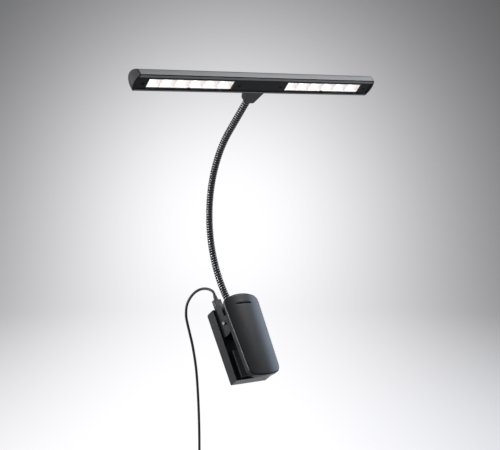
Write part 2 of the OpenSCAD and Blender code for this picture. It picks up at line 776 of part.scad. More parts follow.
module rear_housing() color(black_plastic) in_clip() difference() {
    union() {
        difference() {
            housing_solid();
            block([-room_x, room_y0, bay_z0], [room_x, house_y1 + 1, bay_z1]);
            block([-room_x, room_y0, deck_z0], [room_x, house_y1 + 1, deck_z1]);
            block([-room_x, cover_y - fit, house_z0 - 1], [room_x, house_y1 + 1, deck_z1]);
            for (s = [-1, 1]) translate([s * room_x, cover_y + cover_t / 2, (house_z0 + bay_z1) / 2])
                cube([2 * (tongue_w + 0.2), tongue_t + 0.4, bay_z1 - house_z0 + 2], center = true);
        }
        post_places() rod_y(post_r, room_y0 - 0.5, control_y);
    }
    post_places() rod_y(cover_screw_r + fit, room_y0 - 0.5, cover_y);
    block([-nut_room_x, house_y0 - 1, nut_room_z0], [nut_room_x, room_y0 + 1, nut_z1]);
    translate([0, neck_y, 0]) rod_z(tail_r + slide_gap, nut_z0, housing_top + 1);
    translate([-plug_x, 0, lead_drop]) rod_y(usb_lead_r + slide_gap, house_y0 - 1, room_y0 + 1);
}

module hinge_block() color(black_plastic) in_clip() difference() {
    along_x(block_w) difference() {
        polygon([[house_y0, block_z0], [-block_front, block_z0], [-block_front, block_step_z],
            [-block_upper_front, block_step_z], [-block_upper_front, block_z1], [house_y0, block_z1]]);
        corner_waste([-block_front, block_z0], [-1, -1], block_round);
    }
    for (s = [-1, 1]) block(
        [s * ear_x - ear_t / 2 - slide_gap, -block_front - 1, block_z0 - 1],
        [s * ear_x + ear_t / 2 + slide_gap, -slot_back, block_step_z - 0.5]);
    block([-spring_room_x, -block_front - 1, block_z0 - 1], [spring_room_x, -spring_room_back, spring_room_z]);
    translate([0, -pin_out, pin_up]) rod_x(pin_r + fit, -block_w, block_w);
    translate([0, neck_y, 0]) rod_z(tail_r + fit, nut_z0, block_z1 + 1);
    block([-nut_room_x, neck_y - nut_room_x, nut_room_z0], [nut_room_x, house_y0 + 1, nut_z1]);
    translate([-plug_x, plug_y, 0]) {
        block([-socket_w / 2 - fit, -socket_t / 2 - fit, block_z1 - socket_len - fit],
              [socket_w / 2 + fit, socket_t / 2 + fit, block_z1 + 1]);
        rod_z(usb_lead_r + slide_gap, lead_drop - usb_lead_r - slide_gap, block_z1 - socket_len);
        translate([0, 0, lead_drop]) rod_y(usb_lead_r + slide_gap, 0, house_y0 + 1);
    }
}

module rear_cover() color(black_plastic) in_clip() difference() {
    union() {
        intersection() {
            housing_solid();
            block([-room_x + fit, cover_y, bay_z1 + slide_gap], [room_x - fit, house_y1, deck_z1 - fit]);
        }
        post_places() rod_y(post_r, control_y + control_t, cover_y + 0.5);
    }
    translate([0, 0, button_z]) rod_y(button_d / 2 + slide_gap, cover_y - 1, house_y1 + 1);
    post_places() {
        rod_y(cover_screw_r + fit, 0, house_y1 + 1);
        rod_y(cover_head_r + fit, house_y1 - cover_head_t - 0.4, house_y1 + 1);
    }
}

module cover_screws() color(bright_steel) in_clip() post_places() difference() {
    union() {
        rod_y(cover_screw_r, room_y0, house_y1 - cover_head_t);
        rod_y(cover_head_r, house_y1 - cover_head_t - 0.4, house_y1 - 0.4);
    }
    translate([0, house_y1 - 0.4, 0]) for (a = [0, 90]) rotate([0, a, 0])
        cube([2 * cover_head_r - 1, 1, cross_slot], center = true);
}

module battery_door() color(black_plastic) in_clip() {
    intersection() {
        housing_solid();
        block([-room_x + slide_gap, cover_y, house_z0], [room_x - slide_gap, house_y1, bay_z1]);
    }
    for (s = [-1, 1]) translate([s * (room_x - slide_gap), cover_y + cover_t / 2, bay_z0 + (bay_z1 - bay_z0) / 2])
        cube([2 * tongue_w, tongue_t, bay_z1 - bay_z0 - side_round], center = true);
}

module control_board() color(board_green) in_clip() difference() {
    block([-control_w / 2, control_y, deck_z0 + 1], [control_w / 2, control_y + control_t, deck_z1 - 1]);
    post_places() rod_y(cover_screw_r + fit, 0, house_y1);
}

module tact_switch() color(bright_steel) in_clip() translate([0, 0, button_z]) {
    plunger_y = cover_y - flange_t - slide_gap - button_travel - 0.1;
    translate([-3, control_y + control_t, -3]) cube([6, plunger_y - 1 - control_y - control_t, 6]);
    rod_y(1.7, plunger_y - 1.5, plunger_y);
}

module switch_button() color(dull_black) in_clip() translate([0, 0, button_z]) {
    flange_y = cover_y - slide_gap;
    rod_y(button_d / 2 + 0.9, flange_y - flange_t, flange_y);
    rod_y(button_d / 2, flange_y - 1, house_y1 + button_out);
}

module battery_cells() color(cell_grey) in_clip() for (i = [-1:1]) {
    nub = 1;
    mid = (bay_z0 + bay_z1) / 2;
    turned = i == 0 ? 180 : 0;
    translate([i * cell_pitch, cell_y, mid]) rotate([turned, 0, 0]) {
        rod_z(cell_d / 2, -cell_len / 2, cell_len / 2 - nub);
        rod_z(1.9, cell_len / 2 - nub - 0.5, cell_len / 2);
    }
}

module battery_contacts() color(contact_brass) in_clip() cell_places() {
    for (side = [0, 1]) {
        leaf_z = side ? bay_z1 - 0.4 : bay_z0;
        pad_z0 = side ? bay_z1 - contact_room : bay_z0;
        translate([-3.5, -3.5, leaf_z]) cube([7, 7, 0.4]);
        rod_z(1.6, pad_z0, pad_z0 + contact_room);
    }
}

module clip_leads() color(dull_black) in_clip() {
    translate([0, neck_y, 0]) {
        rod_z(lead_r, lead_drop, nut_z1 + 2);
        translate([0, 0, lead_drop]) {
            sphere(lead_r);
            rod_y(lead_r, 0, control_y - neck_y);
        }
    }
    translate([-plug_x, plug_y, lead_drop]) {
        rod_z(usb_lead_r, 0, block_z1 - socket_len - lead_drop);
        sphere(usb_lead_r);
        rod_y(usb_lead_r, 0, control_y - plug_y);
    }
}

// Jaw

module hinge_pin() color(bright_steel) in_clip() translate([0, -pin_out, pin_up]) rod_x(pin_r, -pin_half, pin_half);

// The jaw's outline as the reader sees it, drawn in by "inset" all round
module jaw_outline(inset) {
    intersection() {
        hull() for (s = [-1, 1]) {
            translate([s * (jaw_top_w / 2 - jaw_corner), jaw_top - jaw_corner - 1])
                circle(jaw_corner - inset, $fn = 32);
            translate([s * (jaw_tip_w / 2 - jaw_corner), jaw_z0 + jaw_corner])
                circle(jaw_corner - inset, $fn = 32);
        }
        translate([0, jaw_top - jaw_top_arc]) circle(jaw_top_arc - inset);
        translate([0, jaw_z0 + jaw_tip_arc]) circle(jaw_tip_arc - inset);
    }
}

// Walls that run down both sides of the jaw and round its tip
module jaw_skirt() {
    intersection() {
        in_jaw() along_y(-jaw_out - 1, 0) difference() {
            jaw_outline(0);
            jaw_outline(skirt_t);
        }
        in_jaw() jaw_shell_space(jaw_t / 2);
        in_clip() along_x(2 * clip_w) polygon([
            [-skirt_out, skirt_low], [-jaw_gap - skirt_clear, skirt_low], [-jaw_gap - skirt_clear, pin_up],
            [-jaw_out, jaw_top - 1], [-skirt_out, jaw_top - 1]]);
    }
}

module jaw_shell_space(inset) {
    translate([0, jaw_crown - jaw_out, 0]) rod_z(jaw_crown - inset, jaw_z0 - 10, jaw_top + 10);
}

module thumb_grip() {
    translate([0, jaw_top - grip_down - grip_arc]) intersection() {
        circle(grip_arc);
        translate([-grip_w / 2, grip_arc - grip_h]) square([grip_w, grip_h]);
    }
}

module front_jaw() color(black_plastic) {
    in_jaw() difference() {
        union() {
            intersection() {
                along_y(-jaw_out - 1, 0) jaw_outline(0);
                difference() {
                    jaw_shell_space(0);
                    jaw_shell_space(jaw_t);
                }
            }
            intersection() {
                jaw_shell_space(0);
                for (s = [-1, 1]) translate([s * ear_x, 0, 0]) along_x(ear_t) {
                    translate([-pin_out, pin_up]) circle(ear_r);
                    translate([-jaw_out, pin_up - ear_r]) square([jaw_out - pin_out, 2 * ear_r]);
                }
            }
        }
        translate([0, -pin_out, pin_up]) rod_x(pin_r + fit, -clip_w, clip_w);
        intersection() {
            along_y(-jaw_out - 1, -jaw_out / 2) thumb_grip();
            difference() {
                jaw_shell_space(-1);
                jaw_shell_space(grip_d);
            }
        }
    }
    intersection() {
        in_clip() block([-front_pad_w / 2 - land_lip, -jaw_out, front_pad_top - front_pad_h - land_lip],
            [front_pad_w / 2 + land_lip, -land_face, front_pad_top + land_lip]);
        in_jaw() jaw_shell_space(jaw_t / 2);
    }
    jaw_skirt();
}

module front_jaw_pad() color(dull_black) in_clip()
    block([-front_pad_w / 2, -land_face, front_pad_top - front_pad_h], [front_pad_w / 2, -jaw_gap, front_pad_top]);

module rear_jaw_pad() color(dull_black) in_clip() block([-pad_w / 2, 0, -pad_h / 2], [pad_w / 2, pad_t, pad_h / 2]);

module jaw_spring() color(bright_steel) in_clip() swept_tube(spring_path, spring_wire / 2, 6, [1, 0, 0]);

// Charging lead

module usb_socket() color(bright_steel) in_clip() translate([-plug_x, plug_y, 0]) difference() {
    block([-socket_w / 2, -socket_t / 2, block_z1 - socket_len], [socket_w / 2, socket_t / 2, block_z1 - 0.1]);
    block([-socket_w / 2 + socket_wall, -socket_t / 2 + socket_wall, block_z1 - socket_len + socket_wall],
          [socket_w / 2 - socket_wall, socket_t / 2 - socket_wall, block_z1 + 1]);
}

module plug_shell() color(bright_steel) in_clip() translate([-plug_x, plug_y, 0]) {
    half_w = socket_w / 2 - socket_wall - plug_shell_gap;
    half_t = socket_t / 2 - socket_wall - plug_shell_gap;
    block([-half_w, -half_t, block_z1 - socket_len + socket_wall + plug_shell_gap], [half_w, half_t, plug_grip_z]);
}

module plug_grip() color(dull_black) in_clip() translate([-plug_x, plug_y, plug_grip_z]) {
    round_r = 1;
    linear_extrude(plug_len) difference() {
        square([plug_w, plug_t], center = true);
        for (x = [-1, 1]) for (y = [-1, 1]) corner_waste([x * plug_w / 2, y * plug_t / 2], [x, y], round_r);
    }
}

module plug_relief() color(dull_black) in_clip() translate([-plug_x, plug_y, relief_z0]) {
    step = relief_len / relief_steps;
    taper = (relief_r0 - cord_r - 0.2) / relief_steps;
    for (i = [0:relief_steps - 1]) {
        rod_z(relief_r0 - i * taper, i * step, (i + 0.7) * step);
        rod_z(relief_r0 - (i + 1) * taper - 0.1, i * step, (i + 1) * step);
    }
}

module charging_cord() color(dull_black) swept_tube(cord_path, cord_r, 8, [1, 0, 0]);

module cord_coil() color(dull_black) swept_tube(coil_path, cord_r, 6, [0, 1, 0]);

module coil_tie() color(dull_black) translate(coil_centre + [coil_r, -(coil_deep - cord_d) / 2, 0]) difference() {
    inner = [coil_wide + 2 * tie_gap, coil_deep + 2 * tie_gap, tie_w];
    cube(inner + [2 * tie_t, 2 * tie_t, 0], center = true);
    cube(inner + [0, 0, 2], center = true);
}

module end_plug_grip() color(dull_black) translate(end_plug_top) {
    round_r = 1.5;
    rotate([180, 0, 0]) cylinder(r1 = cord_r + 0.4, r2 = cord_r + 1.6, h = end_relief_len);
    translate([0, 0, -end_relief_len - end_grip_len]) linear_extrude(end_grip_len) difference() {
        square([end_grip_w, end_grip_t], center = true);
        for (x = [-1, 1]) for (y = [-1, 1]) corner_waste([x * end_grip_w / 2, y * end_grip_t / 2], [x, y], round_r);
    }
}

module end_plug_shell() color(bright_steel) translate(end_plug_top - [0, 0, end_relief_len + end_grip_len]) difference() {
    translate([-end_shell_w / 2, -end_shell_t / 2, -end_shell_len]) cube([end_shell_w, end_shell_t, end_shell_len]);
    translate([-end_shell_w / 2 + end_shell_wall, -end_shell_t / 2 + end_shell_wall, -end_shell_len - 1])
        cube([end_shell_w - 2 * end_shell_wall, end_shell_t / 2, end_shell_len]);
}

rear_housing();
hinge_block();
rear_cover();
cover_screws();
control_board();
usb_socket();
tact_switch();
battery_cells();
battery_contacts();
clip_leads();
neck_ferrule();
ferrule_nut();
rear_jaw_pad();
hinge_pin();
jaw_spring();
switch_button();
battery_door();
front_jaw();
front_jaw_pad();
neck_link(0);  // neck_link_01
neck_link(1);  // neck_link_02
neck_link(2);  // neck_link_03
neck_link(3);  // neck_link_04
neck_link(4);  // neck_link_05
neck_link(5);  // neck_link_06
neck_link(6);  // neck_link_07
neck_link(7);  // neck_link_08
neck_link(8);  // neck_link_09
neck_link(9);  // neck_link_10
head_ferrule();
neck_bracket();
bracket_screws();
head_shell();
end_cap_left();
end_cap_right();
face_plate();
face_screws();
lens_left();
lens_right();
reflector_left();
reflector_right();
lamp_board_left();
lamp_board_right();
lamp_chips_left();
lamp_chips_right();
head_lead();
plug_shell();
plug_grip();
plug_relief();
charging_cord();
cord_coil();
coil_tie();
end_plug_grip();
end_plug_shell();
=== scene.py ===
"""Looks of a clip-on music stand light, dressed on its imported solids.

Sizes are in millimetres and angles in degrees, as in the part's source; meshes, the camera and the
stage are in metres. Each sub-assembly is a class: the camera and stage, the charging lead, the neck,
the light bar, the clip's jaw, and the solids that stay on show with a better finish.
"""

from __future__ import annotations

import logging
from dataclasses import dataclass, field
from enum import Enum
from typing import Mapping, Optional, Sequence, Union

import bmesh
import bpy
import numpy as np
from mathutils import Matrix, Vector


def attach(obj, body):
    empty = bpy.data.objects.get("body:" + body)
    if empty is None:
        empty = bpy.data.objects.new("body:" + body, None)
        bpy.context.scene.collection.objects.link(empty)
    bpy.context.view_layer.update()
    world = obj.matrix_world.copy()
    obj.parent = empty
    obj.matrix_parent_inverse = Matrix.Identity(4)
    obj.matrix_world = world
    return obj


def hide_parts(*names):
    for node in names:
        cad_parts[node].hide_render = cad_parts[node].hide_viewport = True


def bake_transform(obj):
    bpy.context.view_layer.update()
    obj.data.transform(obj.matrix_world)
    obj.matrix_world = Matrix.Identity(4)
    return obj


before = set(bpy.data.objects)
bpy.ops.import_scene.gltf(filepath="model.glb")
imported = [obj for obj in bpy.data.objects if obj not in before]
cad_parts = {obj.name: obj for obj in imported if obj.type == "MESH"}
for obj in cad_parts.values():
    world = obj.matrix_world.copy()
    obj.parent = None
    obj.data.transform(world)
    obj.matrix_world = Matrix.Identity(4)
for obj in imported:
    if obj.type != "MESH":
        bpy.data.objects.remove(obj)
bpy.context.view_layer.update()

LOG = logging.getLogger("stand_light")
Array = np.ndarray
Colour = tuple[float, float, float]
Point = tuple[float, float, float]
Pair = tuple[float, float]
Object = bpy.types.Object
Material = bpy.types.Material
Socket = bpy.types.NodeSocket
MM = 0.001
ORIGIN: Point = (0.0, 0.0, 0.0)


# Shader trees


class Val:
    """A number socket of a material; sums on it add Math nodes."""

    def __init__(self, paint: Paint, socket: Socket) -> None:
        """Keeps the tree and the socket."""
        self.paint = paint
        self.socket = socket

    def __add__(self, other: Number) -> Val:
        """Sum."""
        return self.paint.math("ADD", self, other)

    def __radd__(self, other: Number) -> Val:
        """Sum with the number first."""
        return self.paint.math("ADD", other, self)

    def __sub__(self, other: Number) -> Val:
        """Difference."""
        return self.paint.math("SUBTRACT", self, other)

    def __rsub__(self, other: Number) -> Val:
        """Difference with the number first."""
        return self.paint.math("SUBTRACT", other, self)

    def __mul__(self, other: Number) -> Val:
        """Product."""
        return self.paint.math("MULTIPLY", self, other)

    def __rmul__(self, other: Number) -> Val:
        """Product with the number first."""
        return self.paint.math("MULTIPLY", other, self)

    def rise(self, low: float, high: float) -> Val:
        """Goes smoothly from 0 at low to 1 at high.

        Args:
            low: value that gives 0.
            high: value that gives 1.

        Returns:
            The eased value.
        """
        made = self.paint.node(
            "ShaderNodeMapRange",
            {"interpolation_type": "SMOOTHSTEP"},
            {"Value": self, "From Min": low, "From Max": high},
        )
        return Val(self.paint, made.outputs["Result"])


Number = Union[Val, float]
Input = Union[Val, Socket, float, Sequence[float]]


class Paint:
    """One material's node tree."""

    def __init__(self, name: str) -> None:
        """Starts an empty tree with its output.

        Args:
            name: the material's name.
        """
        self.material = bpy.data.materials.new(name)
        self.material.use_nodes = True
        self.tree = self.material.node_tree
        self.tree.nodes.clear()
        self.output = self.node("ShaderNodeOutputMaterial")

    def node(
        self,
        kind: str,
        settings: Optional[Mapping[str, object]] = None,
        inputs: Optional[Mapping[Union[str, int], Input]] = None,
    ) -> bpy.types.Node:
        """Adds any node: its settings first, then its sockets.

        Args:
            kind: the node's type.
            settings: its attributes.
            inputs: values or links by socket name or number; a colour of three numbers is made opaque.

        Returns:
            The node.
        """
        made = self.tree.nodes.new(kind)
        for key, value in (settings or {}).items():
            setattr(made, key, value)
        for key, value in (inputs or {}).items():
            source = value.socket if isinstance(value, Val) else value
            target = made.inputs[key]
            if isinstance(source, Socket):
                self.tree.links.new(source, target)
            elif target.type == "RGBA" and len(source) == 3:
                target.default_value = (*source, 1.0)
            else:
                target.default_value = source
        return made

    def math(self, operation: str, a: Number, b: Number = 0.0) -> Val:
        """One Math node.

        Args:
            operation: the node's operation.
            a: first value.
            b: second value, where the operation has one.

        Returns:
            The result.
        """
        return Val(self, self.node("ShaderNodeMath", {"operation": operation}, {0: a, 1: b}).outputs[0])

    def place(self) -> Socket:
        """Place on the piece, in metres.

        Returns:
            The vector socket.
        """
        return self.node("ShaderNodeTexCoord").outputs["Object"]

    def stretched(self, scale: Point, turn: Point = ORIGIN) -> Socket:
        """Place on the piece, turned and then stretched.

        Args:
            scale: factor on each axis.
            turn: turn about each axis.

        Returns:
            The vector socket.
        """
        turned = self.node("ShaderNodeMapping", {}, {"Vector": self.place(), "Rotation": tuple(np.radians(turn))})
        return self.node("ShaderNodeMapping", {}, {"Vector": turned.outputs[0], "Scale": scale}).outputs[0]

    def noise(self, scale: float, detail: float = 3.0, vector: Optional[Socket] = None) -> Val:
        """Noise from about 0 to 1.

        Args:
            scale: patches per metre of the vector.
            detail: octaves.
            vector: where it is read, if not at the place on the piece.

        Returns:
            The value.
        """
        inputs = {"Vector": vector or self.place(), "Scale": scale, "Detail": detail}
        return Val(self, self.node("ShaderNodeTexNoise", {}, inputs).outputs[0])

    def along(self, axis: Sequence[float], origin: Sequence[float] = ORIGIN) -> Val:
        """Distance from a point along a direction, in millimetres.

        Args:
            axis: the unit direction.
            origin: the point.

        Returns:
            The distance.
        """
        made = self.node("ShaderNodeVectorMath", {"operation": "DOT_PRODUCT"}, {0: self.place(), 1: tuple(axis)})
        return Val(self, made.outputs["Value"]) * (1 / MM) - float(np.dot(axis, origin))

    def field(self, name: str) -> Val:
        """A value that the mesh carries at its points.

        Args:
            name: the field's name.

        Returns:
            The value.
        """
        return Val(self, self.node("ShaderNodeAttribute", {"attribute_name": name}).outputs["Fac"])

    def blend(self, share: Number, a: Input, b: Input) -> Socket:
        """Colour between a and b.

        Args:
            share: 0 gives a, 1 gives b.
            a: first colour.
            b: second colour.

        Returns:
            The colour socket.
        """
        return self.node("ShaderNodeMix", {"data_type": "RGBA"}, {0: share, 6: a, 7: b}).outputs[2]

    def bump(self, height: Val, depth: float) -> Socket:
        """Surface relief.

        Args:
            height: 0 to 1.
            depth: what 1 stands for.

        Returns:
            The normal socket.
        """
        return self.node("ShaderNodeBump", {}, {"Height": height, "Distance": depth * MM}).outputs["Normal"]

    def done(self, shader: bpy.types.Node) -> Material:
        """Joins the last shader to the output.

        Args:
            shader: the shader.

        Returns:
            The material.
        """
        self.tree.links.new(shader.outputs[0], self.output.inputs["Surface"])
        return self.material

    def surface(self, inputs: Mapping[str, Input]) -> Material:
        """Joins a Principled shader to the output.

        Args:
            inputs: values and links of the shader's sockets.

        Returns:
            The material.
        """
        return self.done(self.node("ShaderNodeBsdfPrincipled", {}, inputs))


# Frames


def leaned(points: Array, angle: float) -> Array:
    """Leans points backwards about the X axis: y' = y cos a + z sin a, z' = z cos a - y sin a.

    Args:
        points: array whose last axis is x, y, z.
        angle: the lean.

    Returns:
        The leaned points.
    """
    a = np.radians(angle)
    x, y, z = np.moveaxis(np.asarray(points, float), -1, 0)
    return np.stack([x, y * np.cos(a) + z * np.sin(a), z * np.cos(a) - y * np.sin(a)], -1)


CLIP_LEAN = 33.5
HEAD_TILT = 44.0
HEAD_AT = np.array([0.0, -18.10, 261.18])
UP = np.array([0.0, 0.0, 1.0])
CLIP_UP = leaned(UP, CLIP_LEAN)
HEAD_UP = leaned(UP, HEAD_TILT)


# Finishes


def scaled(colour: Colour, factor: float) -> Colour:
    """A colour made lighter or darker.

    Args:
        colour: the colour.
        factor: what each part is multiplied by, up to 1.

    Returns:
        The new colour.
    """
    return tuple(min(1.0, factor * c) for c in colour)


@dataclass(frozen=True)
class Moulded:
    """Black or grey plastic from a spark-eroded mould: fine grain, faint cloudy gloss."""

    name: str
    colour: Colour
    rough: float = 0.45
    grain: float = 0.32
    relief: float = 0.012
    gloss: float = 0.5

    def material(self) -> Material:
        """Colour and gloss wander slowly; grain is noise of the grain's size.

        Returns:
            The material.
        """
        paint = Paint(self.name)
        cloud = paint.noise(90.0, 4.0)
        grain = paint.noise(1.0 / (self.grain * MM), 2.0)
        tone = 0.65 * cloud + 0.35 * grain
        return paint.surface(
            {
                "Base Color": paint.blend(tone, scaled(self.colour, 0.75), scaled(self.colour, 1.35)),
                "Roughness": self.rough - 0.08 + 0.1 * cloud + 0.08 * grain,
                "Specular IOR Level": self.gloss,
                "Normal": paint.bump(grain, self.relief),
            }
        )


@dataclass(frozen=True)
class Extruded:
    """Satin anodised aluminium with drawing lines along X, and painted shade in its shadow grooves."""

    name: str
    colour: Colour
    rough: float
    metal: float
    # painted shade: the near-black colour painted into the shadow grooves
    shadow: Colour = (0.006, 0.006, 0.007)

    def material(self) -> Material:
        """Lines are noise stretched along X; the mesh's "groove" field marks the shadow groove, where painted shade
        makes the skin near black and matt.

        Returns:
            The material.
        """
        paint = Paint(self.name)
        lines = paint.noise(1.0, 2.0, paint.stretched((9.0, 5200.0, 5200.0)))
        etch = paint.noise(5200.0, 2.0)
        cloud = paint.noise(30.0)
        groove = paint.field("groove")
        tone = 0.3 * lines + 0.4 * cloud + 0.3 * etch
        skin = paint.blend(tone, scaled(self.colour, 0.94), scaled(self.colour, 1.06))
        return paint.surface(
            {
                # painted shade: the groove field blends the skin into the painted shadow colour
                "Base Color": paint.blend(groove, skin, self.shadow),
                "Metallic": self.metal - self.metal * groove,
                "Roughness": self.rough - 0.04 + 0.02 * lines + 0.06 * cloud + 0.2 * groove,
                "Normal": paint.bump(etch, 0.001),
            }
        )


@dataclass(frozen=True)
class Wound:
    """Black neck winding: rubbed on its crests, dull in its grooves."""

    name: str
    crest: Colour
    groove: Colour

    def material(self) -> Material:
        """The mesh's "ridge" field, 0 in the groove and 1 on the crest, mixes the two.

        Returns:
            The material.
        """
        paint = Paint(self.name)
        ridge = paint.field("ridge")
        rub = paint.noise(420.0, 4.0)
        share = (ridge * (0.95 + 0.1 * rub)).rise(0.78, 1.0)
        return paint.surface(
            {
                "Base Color": paint.blend(share, self.groove, self.crest),
                "Metallic": 0.9 * share,
                "Roughness": 0.55 - 0.37 * share + 0.05 * rub,
                "Normal": paint.bump(paint.noise(3800.0, 2.0), 0.01),
            }
        )


@dataclass(frozen=True)
class Turned:
    """Bare turned or stamped metal with fine tool marks."""

    name: str
    colour: Colour
    rough: float = 0.3

    def material(self) -> Material:
        """Tool marks are noise drawn out across the piece; tarnish is slow noise.

        Returns:
            The material.
        """
        paint = Paint(self.name)
        marks = paint.noise(1.0, 2.0, paint.stretched((300.0, 3200.0, 3200.0), (25.0, 0.0, 0.0)))
        tarnish = paint.noise(240.0)
        return paint.surface(
            {
                "Base Color": paint.blend(tarnish.rise(0.3, 0.75), self.colour, scaled(self.colour, 0.7)),
                "Metallic": 1.0,
                "Roughness": self.rough - 0.06 + 0.16 * marks,
                "Normal": paint.bump(marks, 0.004),
            }
        )


@dataclass(frozen=True)
class ClearStrip:
    """Thin clear window strip."""

    name: str
    tint: Colour
    cover: float

    def material(self) -> Material:
        """Mostly see-through, with a faint moulding wave in its gloss.

        Returns:
            The material.
        """
        paint = Paint(self.name)
        wave = paint.noise(1.0, 2.0, paint.stretched((40.0, 400.0, 400.0)))
        return paint.surface(
            {
                "Base Color": paint.blend(wave, scaled(self.tint, 0.9), self.tint),
                "Roughness": 0.08 + 0.1 * wave,
                "Alpha": self.cover + 0.06 * wave,
            }
        )


@dataclass(frozen=True)
class LampWhite:
    """White moulded lamp part that glows: on the chips, which are lamps, the glow is real; on the trays and boards
    it is painted light from the chips.
    """

    name: str
    colour: Colour
    # painted shade: the glow colour on the dividers' shaded sides
    edge: Colour
    glow: float
    rim: float
    floor: float = 7.6
    first: float = 30.0
    step: float = 15.0833
    tip: float = 0.45
    foot: float = 2.0

    def material(self) -> Material:
        """Dividers stand at |x| = first + k step; half their width grows from tip at the rim to foot at the floor.

        The glow is paler off the dividers, which get painted shade in the edge colour, and a little weaker towards
        the rim, which is painted shade too.

        Returns:
            The material.
        """
        paint = Paint(self.name)
        height = paint.along(HEAD_UP, HEAD_AT)
        depth = height.rise(self.rim, self.floor)
        x = paint.math("ABSOLUTE", paint.along((1.0, 0.0, 0.0)))
        beside = paint.math("PINGPONG", x - self.first, self.step / 2)
        slope = (self.foot - self.tip) / (self.floor - self.rim)
        clear = (beside - self.tip - slope * (height - self.rim)).rise(0.05, 0.3)
        speckle = paint.noise(2600.0, 2.0)
        # painted shade: the glow fades towards the rim and turns to the edge colour on the dividers
        glow_with_painted_rim_shade = paint.blend(0.75 + 0.25 * depth, self.edge, self.colour)
        return paint.surface(
            {
                "Base Color": paint.blend(speckle, scaled(self.colour, 0.93), self.colour),
                "Roughness": 0.5 + 0.15 * speckle,
                "Emission Color": paint.blend(clear, self.edge, glow_with_painted_rim_shade),
                "Emission Strength": self.glow,
            }
        )


@dataclass(frozen=True)
class Circuit:
    """Green board with paler tracks under its lacquer."""

    name: str
    lacquer: Colour
    track: Colour

    def material(self) -> Material:
        """Tracks are the edges of a stretched cell pattern.

        Returns:
            The material.
        """
        paint = Paint(self.name)
        cells = paint.node(
            "ShaderNodeTexVoronoi",
            {"feature": "DISTANCE_TO_EDGE"},
            {"Vector": paint.stretched((160.0, 420.0, 420.0), (44.0, 0.0, 0.0)), "Scale": 1.0},
        )
        track = 1.0 - Val(paint, cells.outputs["Distance"]).rise(0.05, 0.1)
        return paint.surface(
            {
                "Base Color": paint.blend(track, self.lacquer, self.track),
                "Roughness": 0.34 + 0.12 * track,
                "Coat Weight": 0.3,
                "Normal": paint.bump(track, 0.03),
            }
        )


@dataclass(frozen=True)
class Banded:
    """Foil-wrapped cell: two plain bands along the clip's slope."""

    name: str
    body: Colour
    band: Colour
    split: float

    def material(self) -> Material:
        """The band begins at a height along the cells' axis.

        Returns:
            The material.
        """
        paint = Paint(self.name)
        side = paint.along(CLIP_UP).rise(self.split - 0.1, self.split + 0.1)
        return paint.surface(
            {
                "Base Color": paint.blend(side, self.body, self.band),
                "Metallic": 0.35 + 0.5 * side,
                "Roughness": 0.3 + 0.2 * paint.noise(700.0, 4.0),
            }
        )


@dataclass(frozen=True)
class Ribbed:
    """Soft pad rubber with moulded ribs along X."""

    name: str
    colour: Colour
    pitch: float

    def material(self) -> Material:
        """Ribs are a sine of the height along the pad; dust greys their tops.

        Returns:
            The material.
        """
        paint = Paint(self.name)
        wave = 0.5 + 0.5 * paint.math("SINE", paint.along(CLIP_UP) * (2.0 * np.pi / self.pitch))
        dust = paint.noise(900.0)
        return paint.surface(
            {
                "Base Color": paint.blend(0.6 * dust * wave, self.colour, scaled(self.colour, 2.1)),
                "Roughness": 0.72 + 0.15 * dust,
                "Normal": paint.bump(0.8 * wave + 0.2 * dust, 0.3),
            }
        )


class Finish(Enum):
    """The part's finishes, by the record's material slots."""

    BAR_SHELL = "bar_shell"
    CAP_PLASTIC = "cap_plastic"
    FACE_BLACK = "face_black"
    WINDOW_CLEAR = "window_clear"
    TRAY_WHITE = "tray_white"
    BOARD_GREEN = "board_green"
    BOARD_WHITE = "board_white"
    LAMP_CHIP = "lamp_chip"
    SCREW_BLACK = "screw_black"
    STEEL = "steel"
    NECK_METAL = "neck_metal"
    BRACKET_PLASTIC = "bracket_plastic"
    CLIP_PLASTIC = "clip_plastic"
    BUTTON_PLASTIC = "button_plastic"
    PAD_RUBBER = "pad_rubber"
    CELL_CAN = "cell_can"
    CONTACT_BRASS = "contact_brass"
    LEAD_BLACK = "lead_black"
    CORD_BLACK = "cord_black"
    PLUG_BLACK = "plug_black"
    TIE_BLACK = "tie_black"


